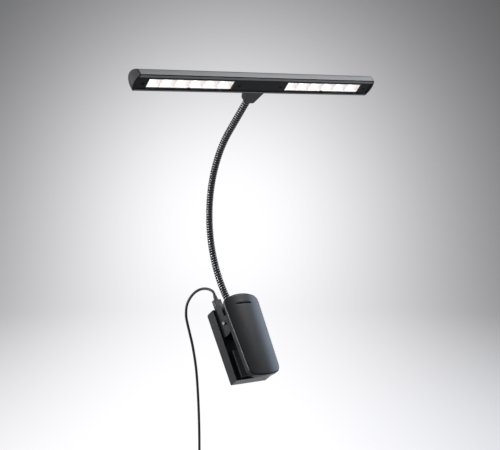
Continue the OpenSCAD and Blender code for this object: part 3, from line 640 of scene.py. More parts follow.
class Palette:
    """Makes each finish once."""

    RECIPES = {
        Finish.BAR_SHELL: Extruded("Bar_shell", (0.26, 0.262, 0.27), 0.44, 0.4),
        Finish.CAP_PLASTIC: Moulded("Cap_plastic", (0.022, 0.0225, 0.024), 0.6, 0.32, 0.012, 0.2),
        Finish.FACE_BLACK: Moulded("Face_black", (0.0055, 0.0055, 0.006), 0.5, 0.25, 0.008, 0.25),
        Finish.WINDOW_CLEAR: ClearStrip("Window_clear", (0.95, 0.97, 1.0), 0.1),
        # painted light: the tray and board glow stands in for the lamp chips' light on them; their second colour is
        # painted shade on the dividers
        Finish.TRAY_WHITE: LampWhite("Tray_white_painted_glow", (0.8, 0.79, 0.78), (0.55, 0.49, 0.48), 0.85, 3.3),
        Finish.BOARD_GREEN: Circuit("Board_green", (0.02, 0.12, 0.045), (0.10, 0.26, 0.12)),
        Finish.BOARD_WHITE: LampWhite("Board_white_painted_glow", (0.85, 0.85, 0.84), (0.8, 0.78, 0.76), 0.85, 6.0),
        Finish.LAMP_CHIP: LampWhite("Lamp_chip", (1.0, 0.97, 0.9), (1.0, 0.95, 0.85), 1.4, 6.0),
        Finish.SCREW_BLACK: Turned("Screw_black", (0.012, 0.012, 0.013), 0.42),
        Finish.STEEL: Turned("Steel", (0.62, 0.62, 0.63)),
        Finish.NECK_METAL: Wound("Neck_metal", (0.24, 0.242, 0.25), (0.002, 0.002, 0.0025)),
        Finish.BRACKET_PLASTIC: Moulded("Bracket_plastic", (0.008, 0.008, 0.009), 0.36),
        Finish.CLIP_PLASTIC: Moulded("Clip_plastic", (0.0055, 0.006, 0.0078), 0.33),
        Finish.BUTTON_PLASTIC: Moulded("Button_plastic", (0.035, 0.035, 0.038), 0.35),
        Finish.PAD_RUBBER: Ribbed("Pad_rubber", (0.018, 0.018, 0.019), 2.0),
        Finish.CELL_CAN: Banded("Cell_can", (0.03, 0.10, 0.08), (0.55, 0.56, 0.58), 22.0),
        Finish.CONTACT_BRASS: Turned("Contact_brass", (0.72, 0.53, 0.25)),
        Finish.LEAD_BLACK: Moulded("Lead_black", (0.02, 0.02, 0.021), 0.5, 0.2),
        Finish.CORD_BLACK: Moulded("Cord_black", (0.012, 0.012, 0.013), 0.42, 0.25, 0.008),
        Finish.PLUG_BLACK: Moulded("Plug_black", (0.025, 0.025, 0.028)),
        Finish.TIE_BLACK: Moulded("Tie_black", (0.015, 0.015, 0.016), 0.6, 0.5, 0.05),
    }

    def __init__(self) -> None:
        """Starts with nothing made."""
        self.made: dict[Finish, Material] = {}

    def of(self, finish: Finish) -> Material:
        """The finish's material, made on first use.

        Args:
            finish: the finish.

        Returns:
            The material.
        """
        if finish not in self.made:
            self.made[finish] = self.RECIPES[finish].material()
        return self.made[finish]


# Surfaces

FAN = np.array([0.0, 0.25, 0.5, 0.75, 0.92])[:, None, None]
LEAST_ROUND = 0.03


def unit(vectors: Array) -> Array:
    """Vectors scaled to length 1 along the last axis.

    Args:
        vectors: the vectors.

    Returns:
        The unit vectors.
    """
    return vectors / np.linalg.norm(vectors, axis=-1, keepdims=True)


def rounded_loop(corners: Array, radii: Array, inset: float, steps: int) -> Array:
    """A closed flat outline with round corners, drawn in all round.

    Each corner moves along its bisector by inset / sin(half angle); an arc whose radius is the corner's
    less the inset then joins the two edges where they are r / tan(half angle) from it.

    Args:
        corners: n by 2, anticlockwise and convex.
        radii: n radii.
        inset: how far the outline is drawn in.
        steps: points per arc.

    Returns:
        n * steps by 2 points.
    """
    back = unit(np.roll(corners, 1, 0) - corners)
    ahead = unit(np.roll(corners, -1, 0) - corners)
    half = np.arccos(np.clip((back * ahead).sum(-1), -1, 1)) / 2
    middle = unit(back + ahead)
    r = np.maximum(radii - inset, LEAST_ROUND)[:, None]
    tip = corners + middle * (inset / np.sin(half))[:, None]
    centre = tip + middle * r / np.sin(half)[:, None]
    a = tip + back * r / np.tan(half)[:, None] - centre
    b = tip + ahead * r / np.tan(half)[:, None] - centre
    turn = (np.pi - 2 * half)[:, None, None]
    t = np.linspace(0, 1, steps)[None, :, None]
    arc = (np.sin((1 - t) * turn) * a[:, None] + np.sin(t * turn) * b[:, None]) / np.sin(turn)
    return (centre[:, None] + arc).reshape(-1, 2)


def pillow(
    corners: Sequence[Sequence[float]],
    radii: Sequence[float],
    low: float,
    high: float,
    edges: Pair,
    steps: int = 8,
    crown: float = 0.0,
) -> Array:
    """A block with a rounded outline and quarter-round edges at both ends.

    Rows run from the low end's middle over its edge, up the side and over the high edge to its middle.

    Args:
        corners: the outline's sharp corners, anticlockwise.
        radii: their radii.
        low: height of the low end.
        high: height of the high end.
        edges: radius of the low and of the high edge.
        steps: points per corner and rows per edge.
        crown: how far the high end's middle swells.

    Returns:
        Rows by columns by 3.
    """
    flat = np.asarray(corners, float)
    quarter = np.linspace(0, np.pi / 2, steps)
    insets = np.concatenate([edges[0] * (1 - np.sin(quarter)), edges[1] * (1 - np.cos(quarter))])
    heights = np.concatenate([low + edges[0] * (1 - np.cos(quarter)), high - edges[1] * (1 - np.sin(quarter))])
    rings = np.stack([rounded_loop(flat, np.asarray(radii, float), i, steps) for i in insets])
    side = np.concatenate([rings, np.broadcast_to(heights[:, None, None], rings.shape[:2] + (1,))], -1)
    middle = flat.mean(0)
    level = np.zeros((len(FAN), rings.shape[1], 1))
    foot = np.concatenate([middle + FAN * (rings[0] - middle), low + level], -1)
    top = np.concatenate([middle + FAN * (rings[-1] - middle), high + crown * (1 - FAN**2) + level], -1)
    return np.concatenate([foot, side, top[::-1]])


def tube(path: Array, radius: Array, sides: int, reference: Sequence[float]) -> Array:
    """A round profile carried along a path; each ring stands square to the path.

    Args:
        path: n by 3 points.
        radius: n by sides, or n by 1, radii.
        sides: points per ring.
        reference: a direction that the path never takes.

    Returns:
        n by sides by 3.
    """
    ahead = unit(np.gradient(path, axis=0))
    a = unit(np.cross(np.asarray(reference, float), ahead))
    b = np.cross(ahead, a)
    turn = np.linspace(0, 2 * np.pi, sides, endpoint=False)
    ring = np.cos(turn)[None, :, None] * a[:, None] + np.sin(turn)[None, :, None] * b[:, None]
    return path[:, None] + radius[..., None] * ring


def spline(points: Array, per_span: int) -> Array:
    """A smooth curve through points: Catmull-Rom spans with tangents from the neighbours.

    Args:
        points: n by 3.
        per_span: points per span.

    Returns:
        (n - 1) * per_span + 1 by 3.
    """
    gap = np.linalg.norm(np.diff(points, axis=0), axis=1)
    knots = np.concatenate([[0.0], np.cumsum(np.sqrt(gap))])
    slope = np.gradient(points, knots, axis=0)
    t = np.linspace(0, 1, per_span, endpoint=False)[None, :, None]
    p, q = points[:-1, None], points[1:, None]
    step = np.diff(knots)[:, None, None]
    m, n = slope[:-1, None] * step, slope[1:, None] * step
    curve = (2 * t**3 - 3 * t**2 + 1) * p + (t**3 - 2 * t**2 + t) * m
    curve = curve + (3 * t**2 - 2 * t**3) * q + (t**3 - t**2) * n
    return np.concatenate([curve.reshape(-1, 3), points[-1:]])


def read_off(at: Union[Array, float], run: Array, path: Array) -> Array:
    """Points of a path at distances along it.

    Args:
        at: the distances.
        run: distance of each of the path's points.
        path: n by 3.

    Returns:
        The points.
    """
    return np.stack([np.interp(at, run, path[:, k]) for k in range(3)], -1)


def evenly(path: Array, spacing: float) -> Array:
    """The same path with points at even distances.

    Args:
        path: n by 3.
        spacing: distance between points.

    Returns:
        m by 3.
    """
    run = np.concatenate([[0.0], np.cumsum(np.linalg.norm(np.diff(path, axis=0), axis=1))])
    return read_off(np.linspace(0, run[-1], int(np.ceil(run[-1] / spacing)) + 1), run, path)


def even_shading(piece: Object) -> None:
    """Lets large faces lead the shading of the small rounds between them.

    Args:
        piece: the piece.
    """
    soften = piece.modifiers.new("Even_shading", "WEIGHTED_NORMAL")
    soften.mode = "FACE_AREA"
    soften.weight = 80
    soften.keep_sharp = True


@dataclass
class Skin:
    """A surface on a grid of rows and columns, whose columns close into rings."""

    name: str
    points: Array
    ends: bool = False
    fields: dict[str, Array] = field(default_factory=dict)

    def build(self, material: Material) -> Object:
        """Makes the object: quads between neighbouring rings and, if asked, a face on each end.

        Args:
            material: its finish.

        Returns:
            The object, at the origin, in metres.
        """
        rows, cols = self.points.shape[:2]
        index = np.arange(rows * cols).reshape(rows, cols)
        right = np.roll(index, -1, 1)
        faces = np.stack([index[:-1], right[:-1], right[1:], index[1:]], -1).reshape(-1, 4).tolist()
        if self.ends:
            faces += [index[0, ::-1].tolist(), index[-1].tolist()]
        mesh = bpy.data.meshes.new(self.name)
        mesh.from_pydata((self.points.reshape(-1, 3) * MM).tolist(), [], faces)
        for key, values in self.fields.items():
            layer = mesh.attributes.new(key, "FLOAT", "POINT")
            layer.data.foreach_set("value", np.ascontiguousarray(values, np.float32).ravel())
        form = bmesh.new()
        form.from_mesh(mesh)
        bmesh.ops.remove_doubles(form, verts=form.verts, dist=1e-6)
        bmesh.ops.recalc_face_normals(form, faces=form.faces)
        form.to_mesh(mesh)
        form.free()
        mesh.polygons.foreach_set("use_smooth", np.ones(len(mesh.polygons), bool))
        mesh.materials.append(material)
        made = bpy.data.objects.new(self.name, mesh)
        bpy.context.scene.collection.objects.link(made)
        return made

    def dress(
        self, palette: Palette, finish: Finish, body: str, nodes: Sequence[str] = (), even: bool = True
    ) -> Object:
        """Makes the piece, hangs it on its body and hides the solids it stands for.

        Args:
            palette: the finishes.
            finish: the piece's finish.
            body: the body it rides on.
            nodes: the solids.
            even: whether large faces lead its shading.

        Returns:
            The piece.
        """
        piece = self.build(palette.of(finish))
        if even:
            even_shading(piece)
        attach(piece, body)
        if nodes:
            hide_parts(*nodes)
        LOG.info("%s: %d faces on %s", piece.name, len(piece.data.polygons), body)
        return piece


# Camera and stage


def aimed(name: str, data: bpy.types.ID, place: Point, ahead: Vector) -> Object:
    """Puts a camera or a lamp at its place.

    Args:
        name: its name.
        data: the camera or lamp.
        place: where it stands.
        ahead: where it points.

    Returns:
        The object.
    """
    made = bpy.data.objects.new(name, data)
    bpy.context.scene.collection.objects.link(made)
    made.location = place
    made.rotation_euler = ahead.to_track_quat("-Z", "Y").to_euler()
    return made


@dataclass
class Viewpoint:
    """The photograph's viewing angle."""

    place: Point = (-0.6477, -0.9151, 0.2232)
    azimuth: float = 35.3
    drop: float = 4.7
    lens: float = 85.68
    sensor: float = 36.0
    reach: float = 20.0

    def build(self) -> Object:
        """Makes the scene's camera.

        Returns:
            The camera.
        """
        data = bpy.data.cameras.new("Viewpoint")
        data.lens = self.lens
        data.sensor_width = self.sensor
        data.sensor_fit = "HORIZONTAL"
        data.clip_end = self.reach
        a, d = np.radians(self.azimuth), np.radians(self.drop)
        ahead = Vector((np.sin(a) * np.cos(d), np.cos(a) * np.cos(d), -np.sin(d)))
        bpy.context.scene.camera = aimed("Viewpoint", data, self.place, ahead)
        return bpy.context.scene.camera


@dataclass(frozen=True)
class SoftBox:
    """A flat lamp that faces a point."""

    name: str
    place: Point
    target: Point
    width: float
    height: float
    power: float
    colour: Colour = (1.0, 1.0, 1.0)

    def build(self) -> Object:
        """Hangs the lamp.

        Returns:
            The lamp.
        """
        data = bpy.data.lights.new(self.name, "AREA")
        data.shape = "RECTANGLE"
        data.size = self.width
        data.size_y = self.height
        data.energy = self.power
        data.color = self.colour
        return aimed(self.name, data, self.place, Vector(self.target) - Vector(self.place))


@dataclass
class Stage:
    """A pale round cove, soft lamps and an even sky."""

    floor: float = -0.212
    floor_r: float = 1.7
    floor_rings: tuple[float, ...] = (0.0, 0.4, 0.9, 1.3)
    bend_r: float = 0.7
    bend_rows: int = 24
    wall: float = 1.5
    columns: int = 96
    colour: Colour = (0.22, 0.22, 0.225)
    pale: Colour = (0.98, 0.97, 0.99)
    across: Point = (0.816, -0.578, 0.0)
    ahead: Point = (0.578, 0.816, 0.0)
    bright: Pair = (-65.0, -50.0)
    fall: Pair = (2.7, 2.55)
    glow: float = 0.98
    near: Pair = (-200.0, 400.0)
    aside: Pair = (0.9, 1.6)
    plain: float = 0.45
    sky: float = 0.25
    sky_colour: Colour = (0.95, 0.97, 1.0)
    lamps: tuple[SoftBox, ...] = (
        SoftBox("Overhead", (0.62, -0.38, 1.12), (0.0, 0.0, 0.1), 0.4, 0.4, 5.5, (1.0, 0.99, 0.98)),
        SoftBox("Right_box", (1.15, -0.25, 0.45), (0.0, 0.0, 0.08), 0.7, 0.7, 8.5, (0.7, 0.82, 1.0)),
        SoftBox("Left_strip", (-1.25, 0.12, 0.4), (0.0, 0.03, 0.1), 0.15, 1.4, 20.0),
        SoftBox("Back_left", (-0.85, 1.1, 0.25), (0.0, 0.0, 0.1), 0.5, 0.5, 6.5),
    )

    def cove(self) -> Object:
        """Turns a profile (floor, quarter bend, wall) about the vertical axis.

        Returns:
            The cove.
        """
        bend = np.linspace(0, np.pi / 2, self.bend_rows)
        flat = np.array(self.floor_rings)
        r = np.concatenate([flat, self.floor_r + self.bend_r * np.sin(bend), [self.floor_r + self.bend_r]])
        z = np.concatenate([0 * flat, self.bend_r * (1 - np.cos(bend)), [self.bend_r + self.wall]]) + self.floor
        turn = np.linspace(0, 2 * np.pi, self.columns, endpoint=False)
        grid = np.broadcast_arrays(r[:, None] * np.cos(turn), r[:, None] * np.sin(turn), z[:, None])
        made = Skin("Cove", np.stack(grid, -1) / MM).build(self.paint())
        made.data.flip_normals()
        return made

    def paint(self) -> Material:
        """Matt paint that takes shadows, with a pale glow that is seen directly, in gloss and through windows.

        The glow falls off as exp(-(a u^2 + b v^2)), u across the view and v upwards from its brightest place, and
        it stays off the near half. Where the first view can't see, the cove is an even pale grey.

        Returns:
            The cove's finish.
        """
        paint = Paint("Cove_paint")
        tone = paint.blend(paint.noise(3.0, 2.0), scaled(self.colour, 0.97), self.colour)
        matt = paint.node("ShaderNodeBsdfDiffuse", {}, {"Color": tone})
        u = MM * (paint.along(self.across) - self.bright[0])
        v = MM * (paint.along(UP) - self.bright[1])
        bell = paint.math("EXPONENT", -1.0 * (self.fall[0] * u * u + self.fall[1] * v * v))
        far = paint.along(self.ahead).rise(*self.near)
        ray = paint.node("ShaderNodeLightPath").outputs
        direct, gloss, through = (Val(paint, ray[f"Is {kind} Ray"]) for kind in ("Camera", "Glossy", "Transmission"))
        even = 1.0 - far * (1.0 - paint.math("ABSOLUTE", u).rise(*self.aside))
        strength = self.glow * bell * far * (direct + gloss + through) + self.plain * even * direct
        glow = paint.node("ShaderNodeEmission", {}, {"Color": self.pale, "Strength": strength})
        return paint.done(paint.node("ShaderNodeAddShader", {}, {0: matt.outputs[0], 1: glow.outputs[0]}))

    def light(self) -> None:
        """Sets the soft lamps and the sky."""
        for lamp in self.lamps:
            lamp.build()
        world = bpy.data.worlds.new("Sky")
        world.use_nodes = True
        sky = world.node_tree.nodes["Background"].inputs
        sky["Color"].default_value = (*self.sky_colour, 1.0)
        sky["Strength"].default_value = self.sky
        bpy.context.scene.world = world
        bpy.context.scene.view_settings.view_transform = "Standard"


# Charging lead


@dataclass
class ChargingLead:
    """The cord from the small plug to its far plug, with its stored coil."""

    palette: Palette
    diameter: float = 2.6
    sides: int = 14
    spacing: float = 1.3
    reference: Point = (0.35, 0.93, 0.12)
    exit: Point = (-13.4, 40.54, 60.71)
    route: tuple[Point, ...] = (
        (-13.8, 44.5, 64.4), (-15.2, 47.5, 65.6), (-18, 52, 66), (-21.5, 56, 64.5), (-25, 59.5, 61),
        (-28, 62, 56), (-30, 64, 50), (-30.5, 65, 44), (-30, 65.6, 37), (-28, 66, 29), (-25.6, 66, 20),
        (-23, 66, 10), (-20.6, 66, -2), (-18.6, 66, -15), (-17.2, 66, -30), (-16.2, 66, -46), (-15.5, 66, -62),
        (-15.1, 66, -78), (-15, 66, -94), (-15, 66, -108),
    )
    entry: Point = (-15.0, 66.0, -120.0)
    per_span: int = 10
    coil_r: float = 15.0
    coil_step: float = 3.2
    layers: int = 4
    turns: int = 2
    per_turn: int = 48
    tail: float = 22.0

    def coil(self) -> Array:
        """The stored coil: in and out again, a layer further forward at each turning point.

        x = cx - r cos 2 pi t and z = cz - r sin 2 pi t, where r swings between coil_r + step and
        coil_r - step as a triangle wave of four turns, and y steps by one pitch at t = 2, 4 and 6.

        Returns:
            Points along the coil.
        """
        whole = self.layers * self.turns
        t = np.linspace(0, whole, whole * self.per_turn + 1)
        m = np.mod(t, 2 * self.turns)
        share = np.where(m < self.turns, 1 - 2 * m / self.turns, 2 * m / self.turns - 3)
        r = self.coil_r + self.coil_step * share
        c = np.clip((t[:, None] - np.arange(1, self.layers) * self.turns + 0.25) * 2, 0, 1)
        climb = (c * c * (3 - 2 * c)).sum(1)
        x, y, z = np.array(self.entry) + [self.coil_r + self.coil_step, 0.0, -2 * self.diameter]
        turn = 2 * np.pi * t
        return np.stack([x - r * np.cos(turn), y - self.coil_step * climb, z - r * np.sin(turn)], -1)

    def path(self) -> Array:
        """The whole cord's middle line: out of the plug, over the route, round the coil and down its tail.

        Returns:
            Points at the spacing.
        """
        start, entry, coil = np.array(self.exit), np.array(self.entry), self.coil()
        first = [start, start + self.diameter * CLIP_UP]
        loose = spline(np.concatenate([first, self.route, [entry + self.diameter * UP, entry]]), self.per_span)
        tail = [coil[-1] - self.tail / 2 * UP, coil[-1] - self.tail * UP]
        return evenly(np.concatenate([loose, coil, tail]), self.spacing)

    def build(self) -> list[Object]:
        """Returns:
            The pieces.
        """
        path = self.path()
        grid = tube(path, np.full((len(path), 1), self.diameter / 2), self.sides, self.reference)
        nodes = ["charging_cord", "cord_coil"]
        cord = Skin("Charging_cord", grid, True).dress(self.palette, Finish.CORD_BLACK, "clip", nodes, False)
        return [cord]


# Neck


@dataclass
class Neck:
    """The wound bendable neck, in one length per joint."""

    palette: Palette
    length: float = 227.0
    outer: float = 7.0
    pitch: float = 2.5
    depth: float = 0.75
    start: float = 42.0
    finish: float = -46.0
    foot: float = 8.0
    straight: float = 40.0
    links: int = 10
    base: Point = (0.0, 34.22, 51.70)
    tip: Point = (0.0, 5.27, 247.23)
    sunk: Pair = (0.8, 2.4)
    bend: float = 10.0
    held: Pair = (0.8, 1.2)
    lead_in: float = 0.2
    spare: Pair = (4.0, 6.0)
    steps: int = 4601
    sides: int = 28
    rings_per_pitch: int = 12

    def centre(self, s: Array) -> Array:
        """Point of the neck's middle line at a distance from its first joint.

        The lean falls evenly from start to finish between the two straight stretches; the line is the sum
        of its directions, and what rounding leaves at the tip is shared out along it.

        Args:
            s: distances.

        Returns:
            The points.
        """
        fine = np.linspace(-self.spare[0], self.length + self.spare[1], self.steps)
        share = np.clip((fine - self.foot) / (self.length - self.foot - self.straight), 0, 1)
        lean = np.radians(self.start + (self.finish - self.start) * share)
        way = np.stack([0 * lean, np.sin(lean), np.cos(lean)], -1)
        run = np.concatenate([np.zeros((1, 3)), np.cumsum((way[1:] + way[:-1]) / 2, 0) * (fine[1] - fine[0])])
        run = run - read_off(0.0, fine, run) + np.array(self.base)
        missing = np.array(self.tip) - read_off(self.length, fine, run)
        return read_off(s, fine, run + np.clip(fine / self.length, 0, 1)[:, None] * missing)

    def winding(self, name: str, low: float, high: float) -> Object:
        """One length of the winding.

        Radius = groove + depth * |sin pi (s / pitch - turn)|: one round ridge that winds along the neck.

        Args:
            name: the piece's name.
            low: distance at which it begins.
            high: distance at which it ends.

        Returns:
            The length.
        """
        s = np.linspace(low, high, int(np.ceil((high - low) / self.pitch * self.rings_per_pitch)) + 1)
        around = np.linspace(0, 1, self.sides, endpoint=False)
        ridge = np.abs(np.sin(np.pi * (s[:, None] / self.pitch - around)))
        radius = self.outer / 2 - self.depth + self.depth * ridge
        line = self.centre(np.concatenate([[low - self.lead_in], s, [high + self.lead_in]]))
        radius = np.concatenate([radius[:1], radius, radius[-1:]])
        grid = tube(line, radius, self.sides, (1, 0, 0))[1:-1]
        return Skin(name, grid, False, {"ridge": ridge}).build(self.palette.of(Finish.NECK_METAL))

    def build(self) -> list[Object]:
        """Makes the lengths between the links' middles, one for each joint.

        Returns:
            The pieces.
        """
        step = self.length / self.links
        middles = (np.arange(self.links) + 0.5) * step
        cuts = np.concatenate([[-self.sunk[0]], middles, [self.length + self.sunk[1]]])
        bodies = ["clip", *(f"link_{i:02d}" for i in range(1, self.links + 1)), "head"]
        made = []
        for k, (lower, upper) in enumerate(zip(bodies, bodies[1:])):
            piece = self.winding(f"Neck_winding_{k + 1:02d}", cuts[k], cuts[k + 1])
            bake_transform(piece)
            if k:
                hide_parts(f"neck_link_{k:02d}")
            LOG.info("%s: %d faces between %s and %s", piece.name, len(piece.data.polygons), lower, upper)
            made.append(piece)
        return made


# Light bar


@dataclass
class LightBar:
    """The arched shell, its end caps, the bracket behind it and the strips beside its lamp boards."""

    palette: Palette
    length: float = 269.6
    width: float = 20.0
    height: float = 12.5
    side: float = 6.5
    wall: float = 1.2
    cap: float = 3.3
    bow: float = 2.6
    groove_w: float = 0.9
    groove_d: float = 0.5
    front_lip: float = 3.4
    rear_lip: float = 2.0
    lip_t: float = 0.6
    edge: float = 0.14
    knee: float = 0.9
    seam: float = 0.03
    arch_points: int = 40
    roof_points: int = 30
    rows: int = 27
    bracket_len: float = 15.0
    bracket_w: float = 21.0
    bracket_end_w: float = 10.0
    bracket_t: float = 9.0
    bracket_in: float = 2.5
    neck_h: float = 6.2
    tray_top: float = 7.6
    window_reach: Pair = (30.0, 120.5)
    slots: tuple[Pair, ...] = ((-4.15, -3.08), (5.88, 6.95))

    def placed(self, points: Array) -> Array:
        """From the bar's own frame to the part's.

        Args:
            points: in the bar's frame.

        Returns:
            The points in the part's frame.
        """
        return leaned(points, HEAD_TILT) + HEAD_AT

    def arch(self, inset: float, low: float, count: int) -> Array:
        """Half of the arch, from its foot at height low to its top: a circle about (0, height - radius).

        Args:
            inset: how far inside the outer skin.
            low: height of the foot.
            count: points.

        Returns:
            y and z.
        """
        rise = self.height - self.side
        radius = ((self.width / 2) ** 2 + rise**2) / (2 * rise)
        centre = self.height - radius
        a = np.linspace(np.arcsin((low - centre) / (radius - inset)), np.pi / 2, count)
        return np.stack([(radius - inset) * np.cos(a), centre + (radius - inset) * np.sin(a)], -1)

    def flank(self, lip: float) -> tuple[Array, Array]:
        """One lower edge of the section: the lip under the face plate, the shadow groove and the side wall.

        Args:
            lip: width of the lip, from the bar's side to its free edge.

        Returns:
            y and z from the lip's free edge up the wall, and how far each point lies in the groove, which the bar's
            finish paints with shade.
        """
        half, d, e, tiny = self.width / 2, self.groove_d, self.edge, 0.02
        free, inner = half - lip, half - self.groove_w
        points = np.array(
            [
                [free, self.lip_t], [free, e], [free + e / 4, e / 4], [free + e, 0.0],
                [inner - e, 0.0], [inner - e / 4, e / 4], [inner, e],
                [inner, e + tiny], [inner, d - tiny], [inner + tiny, d], [half - e - tiny, d],
                [half - e, d], [half - e / 4, d + e / 4], [half, d + e], [half, d + 3 * e],
                [half, self.side - self.knee],
            ]
        )
        return points, np.isin(np.arange(len(points)), (7, 8, 9, 10)).astype(float)

    def shell(self) -> Object:
        """Carries the shell's section, with lips and shadow grooves, along the bar.

        Returns:
            The shell.
        """
        half, mirror = self.width / 2, np.array([-1, 1])
        arch = self.arch(0.0, self.side + 0.5, self.arch_points)
        turn = (np.array([half, self.side - self.knee]) + 2 * arch[0] + [half, self.side]) / 4 + [0.06, 0]
        rear, rear_painted_shade = self.flank(self.rear_lip)
        front, front_painted_shade = self.flank(self.front_lip)
        top = np.concatenate([[turn], arch, (arch * mirror)[-2::-1], [turn * mirror]])
        roof = self.arch(self.wall, self.side, self.roof_points)
        heights = np.linspace(self.lip_t, self.side - 0.3, self.rows)
        wall = np.stack([np.full_like(heights, half - self.wall), heights], -1)
        inner = np.concatenate([wall, roof, (roof * mirror)[-2::-1], (wall * mirror)[::-1]])
        section = np.concatenate([rear, top, (front * mirror)[::-1], inner[::-1]])
        # painted shade: rows in the shadow grooves are marked for the finish to paint dark
        painted_groove_shade = np.concatenate([rear_painted_shade, np.zeros(len(top)), front_painted_shade[::-1], np.zeros(len(inner))])
        reach = self.length / 2 - self.cap
        along = np.linspace(-reach + 2, reach - 2, self.rows)
        x = np.concatenate([[-reach, -reach + 0.12], along, [reach - 0.12, reach]])
        grid = np.stack(np.broadcast_arrays(x[:, None], section[:, 0], section[:, 1]), -1)
        fields = {"groove": np.broadcast_to(painted_groove_shade, grid.shape[:2])}
        skin = Skin("Bar_shell", self.placed(grid), True, fields)
        return skin.dress(self.palette, Finish.BAR_SHELL, "head", ["head_shell"])

    def end_cap(self, side: int) -> Object:
        """A cap with the bar's own outline, a fine shadow step against the shell and a rounded rim.

        Its outer face bows out across the bar as a circle: sqrt(r^2 - y^2) - (r - bow).

        Args:
            side: -1 for the left end, 1 for the right end.

        Returns:
            The cap.
        """
        half = self.width / 2
        across = np.linspace(-half, half, 15)
        foot = np.stack([across, 0.04 * ((across / half) ** 2 - 1)], -1)
        arch = self.arch(0, self.side + 0.4, 9)
        right, left = [[half, self.side - 0.6]], [[-half, self.side - 0.6]]
        outline = np.concatenate([foot, right, arch, arch[-2::-1] * [-1, 1], left])
        radii = np.concatenate([[0.8], np.full(len(foot) - 2, 0.3), [0.8], np.full(len(outline) - len(foot), 1.2)])
        low, high = self.length / 2 - self.cap + self.seam, self.length / 2 - self.bow
        rows = pillow(outline, radii, low, high, (0.12, 0.5))
        arc = (half**2 + self.bow**2) / (2 * self.bow)
        rise = np.sqrt(arc**2 - rows[..., 0] ** 2) - (arc - self.bow)
        x = rows[..., 2] + rise * (rows[..., 2] - low) / (high - low)
        grid = self.placed(np.stack([side * x, rows[..., 0], rows[..., 1]], -1))
        end = "left" if side < 0 else "right"
        return Skin(f"Cap_{end}", grid).dress(self.palette, Finish.CAP_PLASTIC, "head", [f"end_cap_{end}"])

    def bracket(self) -> Object:
        """A tapered block with rounded edges, from inside the bar's rear wall to the neck.

        Returns:
            The bracket.
        """
        rear = self.width / 2
        root, shoulder, end = rear - self.bracket_in, rear + 1, rear + self.bracket_len
        w, n, t = self.bracket_w / 2, self.bracket_end_w / 2, self.bracket_t / 2
        corners = [[-w, root], [w, root], [w, shoulder], [n, end], [-n, end], [-w, shoulder]]
        radii = [0.5, 0.5, 2.5, 1.6, 1.6, 2.5]
        rows = pillow(corners, radii, self.neck_h - t, self.neck_h + t, (1.0, 1.2), crown=0.25)
        skin = Skin("Neck_bracket", self.placed(rows))
        return skin.dress(self.palette, Finish.BRACKET_PLASTIC, "head", ["neck_bracket"])

    def tray_edge(self, side: int, row: int) -> Object:
        """A white strip that closes the slot between a lamp board's long edge and its tray.

        Args:
            side: -1 for the left window, 1 for the right one.
            row: 0 for the front slot, 1 for the rear one.

        Returns:
            The strip.
        """
        x = sorted(side * reach for reach in self.window_reach)
        y = self.slots[row]
        corners = [[x[0], y[0]], [x[1], y[0]], [x[1], y[1]], [x[0], y[1]]]
        rows = pillow(corners, [0.1] * 4, self.tray_top + 0.02, self.tray_top + 0.5, (0.05, 0.05), 3)
        name = f"Tray_edge_{'left' if side < 0 else 'right'}_{'front' if row == 0 else 'rear'}"
        # painted light: the strip carries the trays' glowing finish
        return Skin(name, self.placed(rows)).dress(self.palette, Finish.TRAY_WHITE, "head", even=False)

    def build(self) -> list[Object]:
        """Makes the trays' edges, the shell, both caps and the bracket.

        Returns:
            The pieces.
        """
        edges = [self.tray_edge(side, row) for side in (-1, 1) for row in (0, 1)]
        return [*edges, self.shell(), self.end_cap(-1), self.end_cap(1), self.bracket()]


# Front jaw


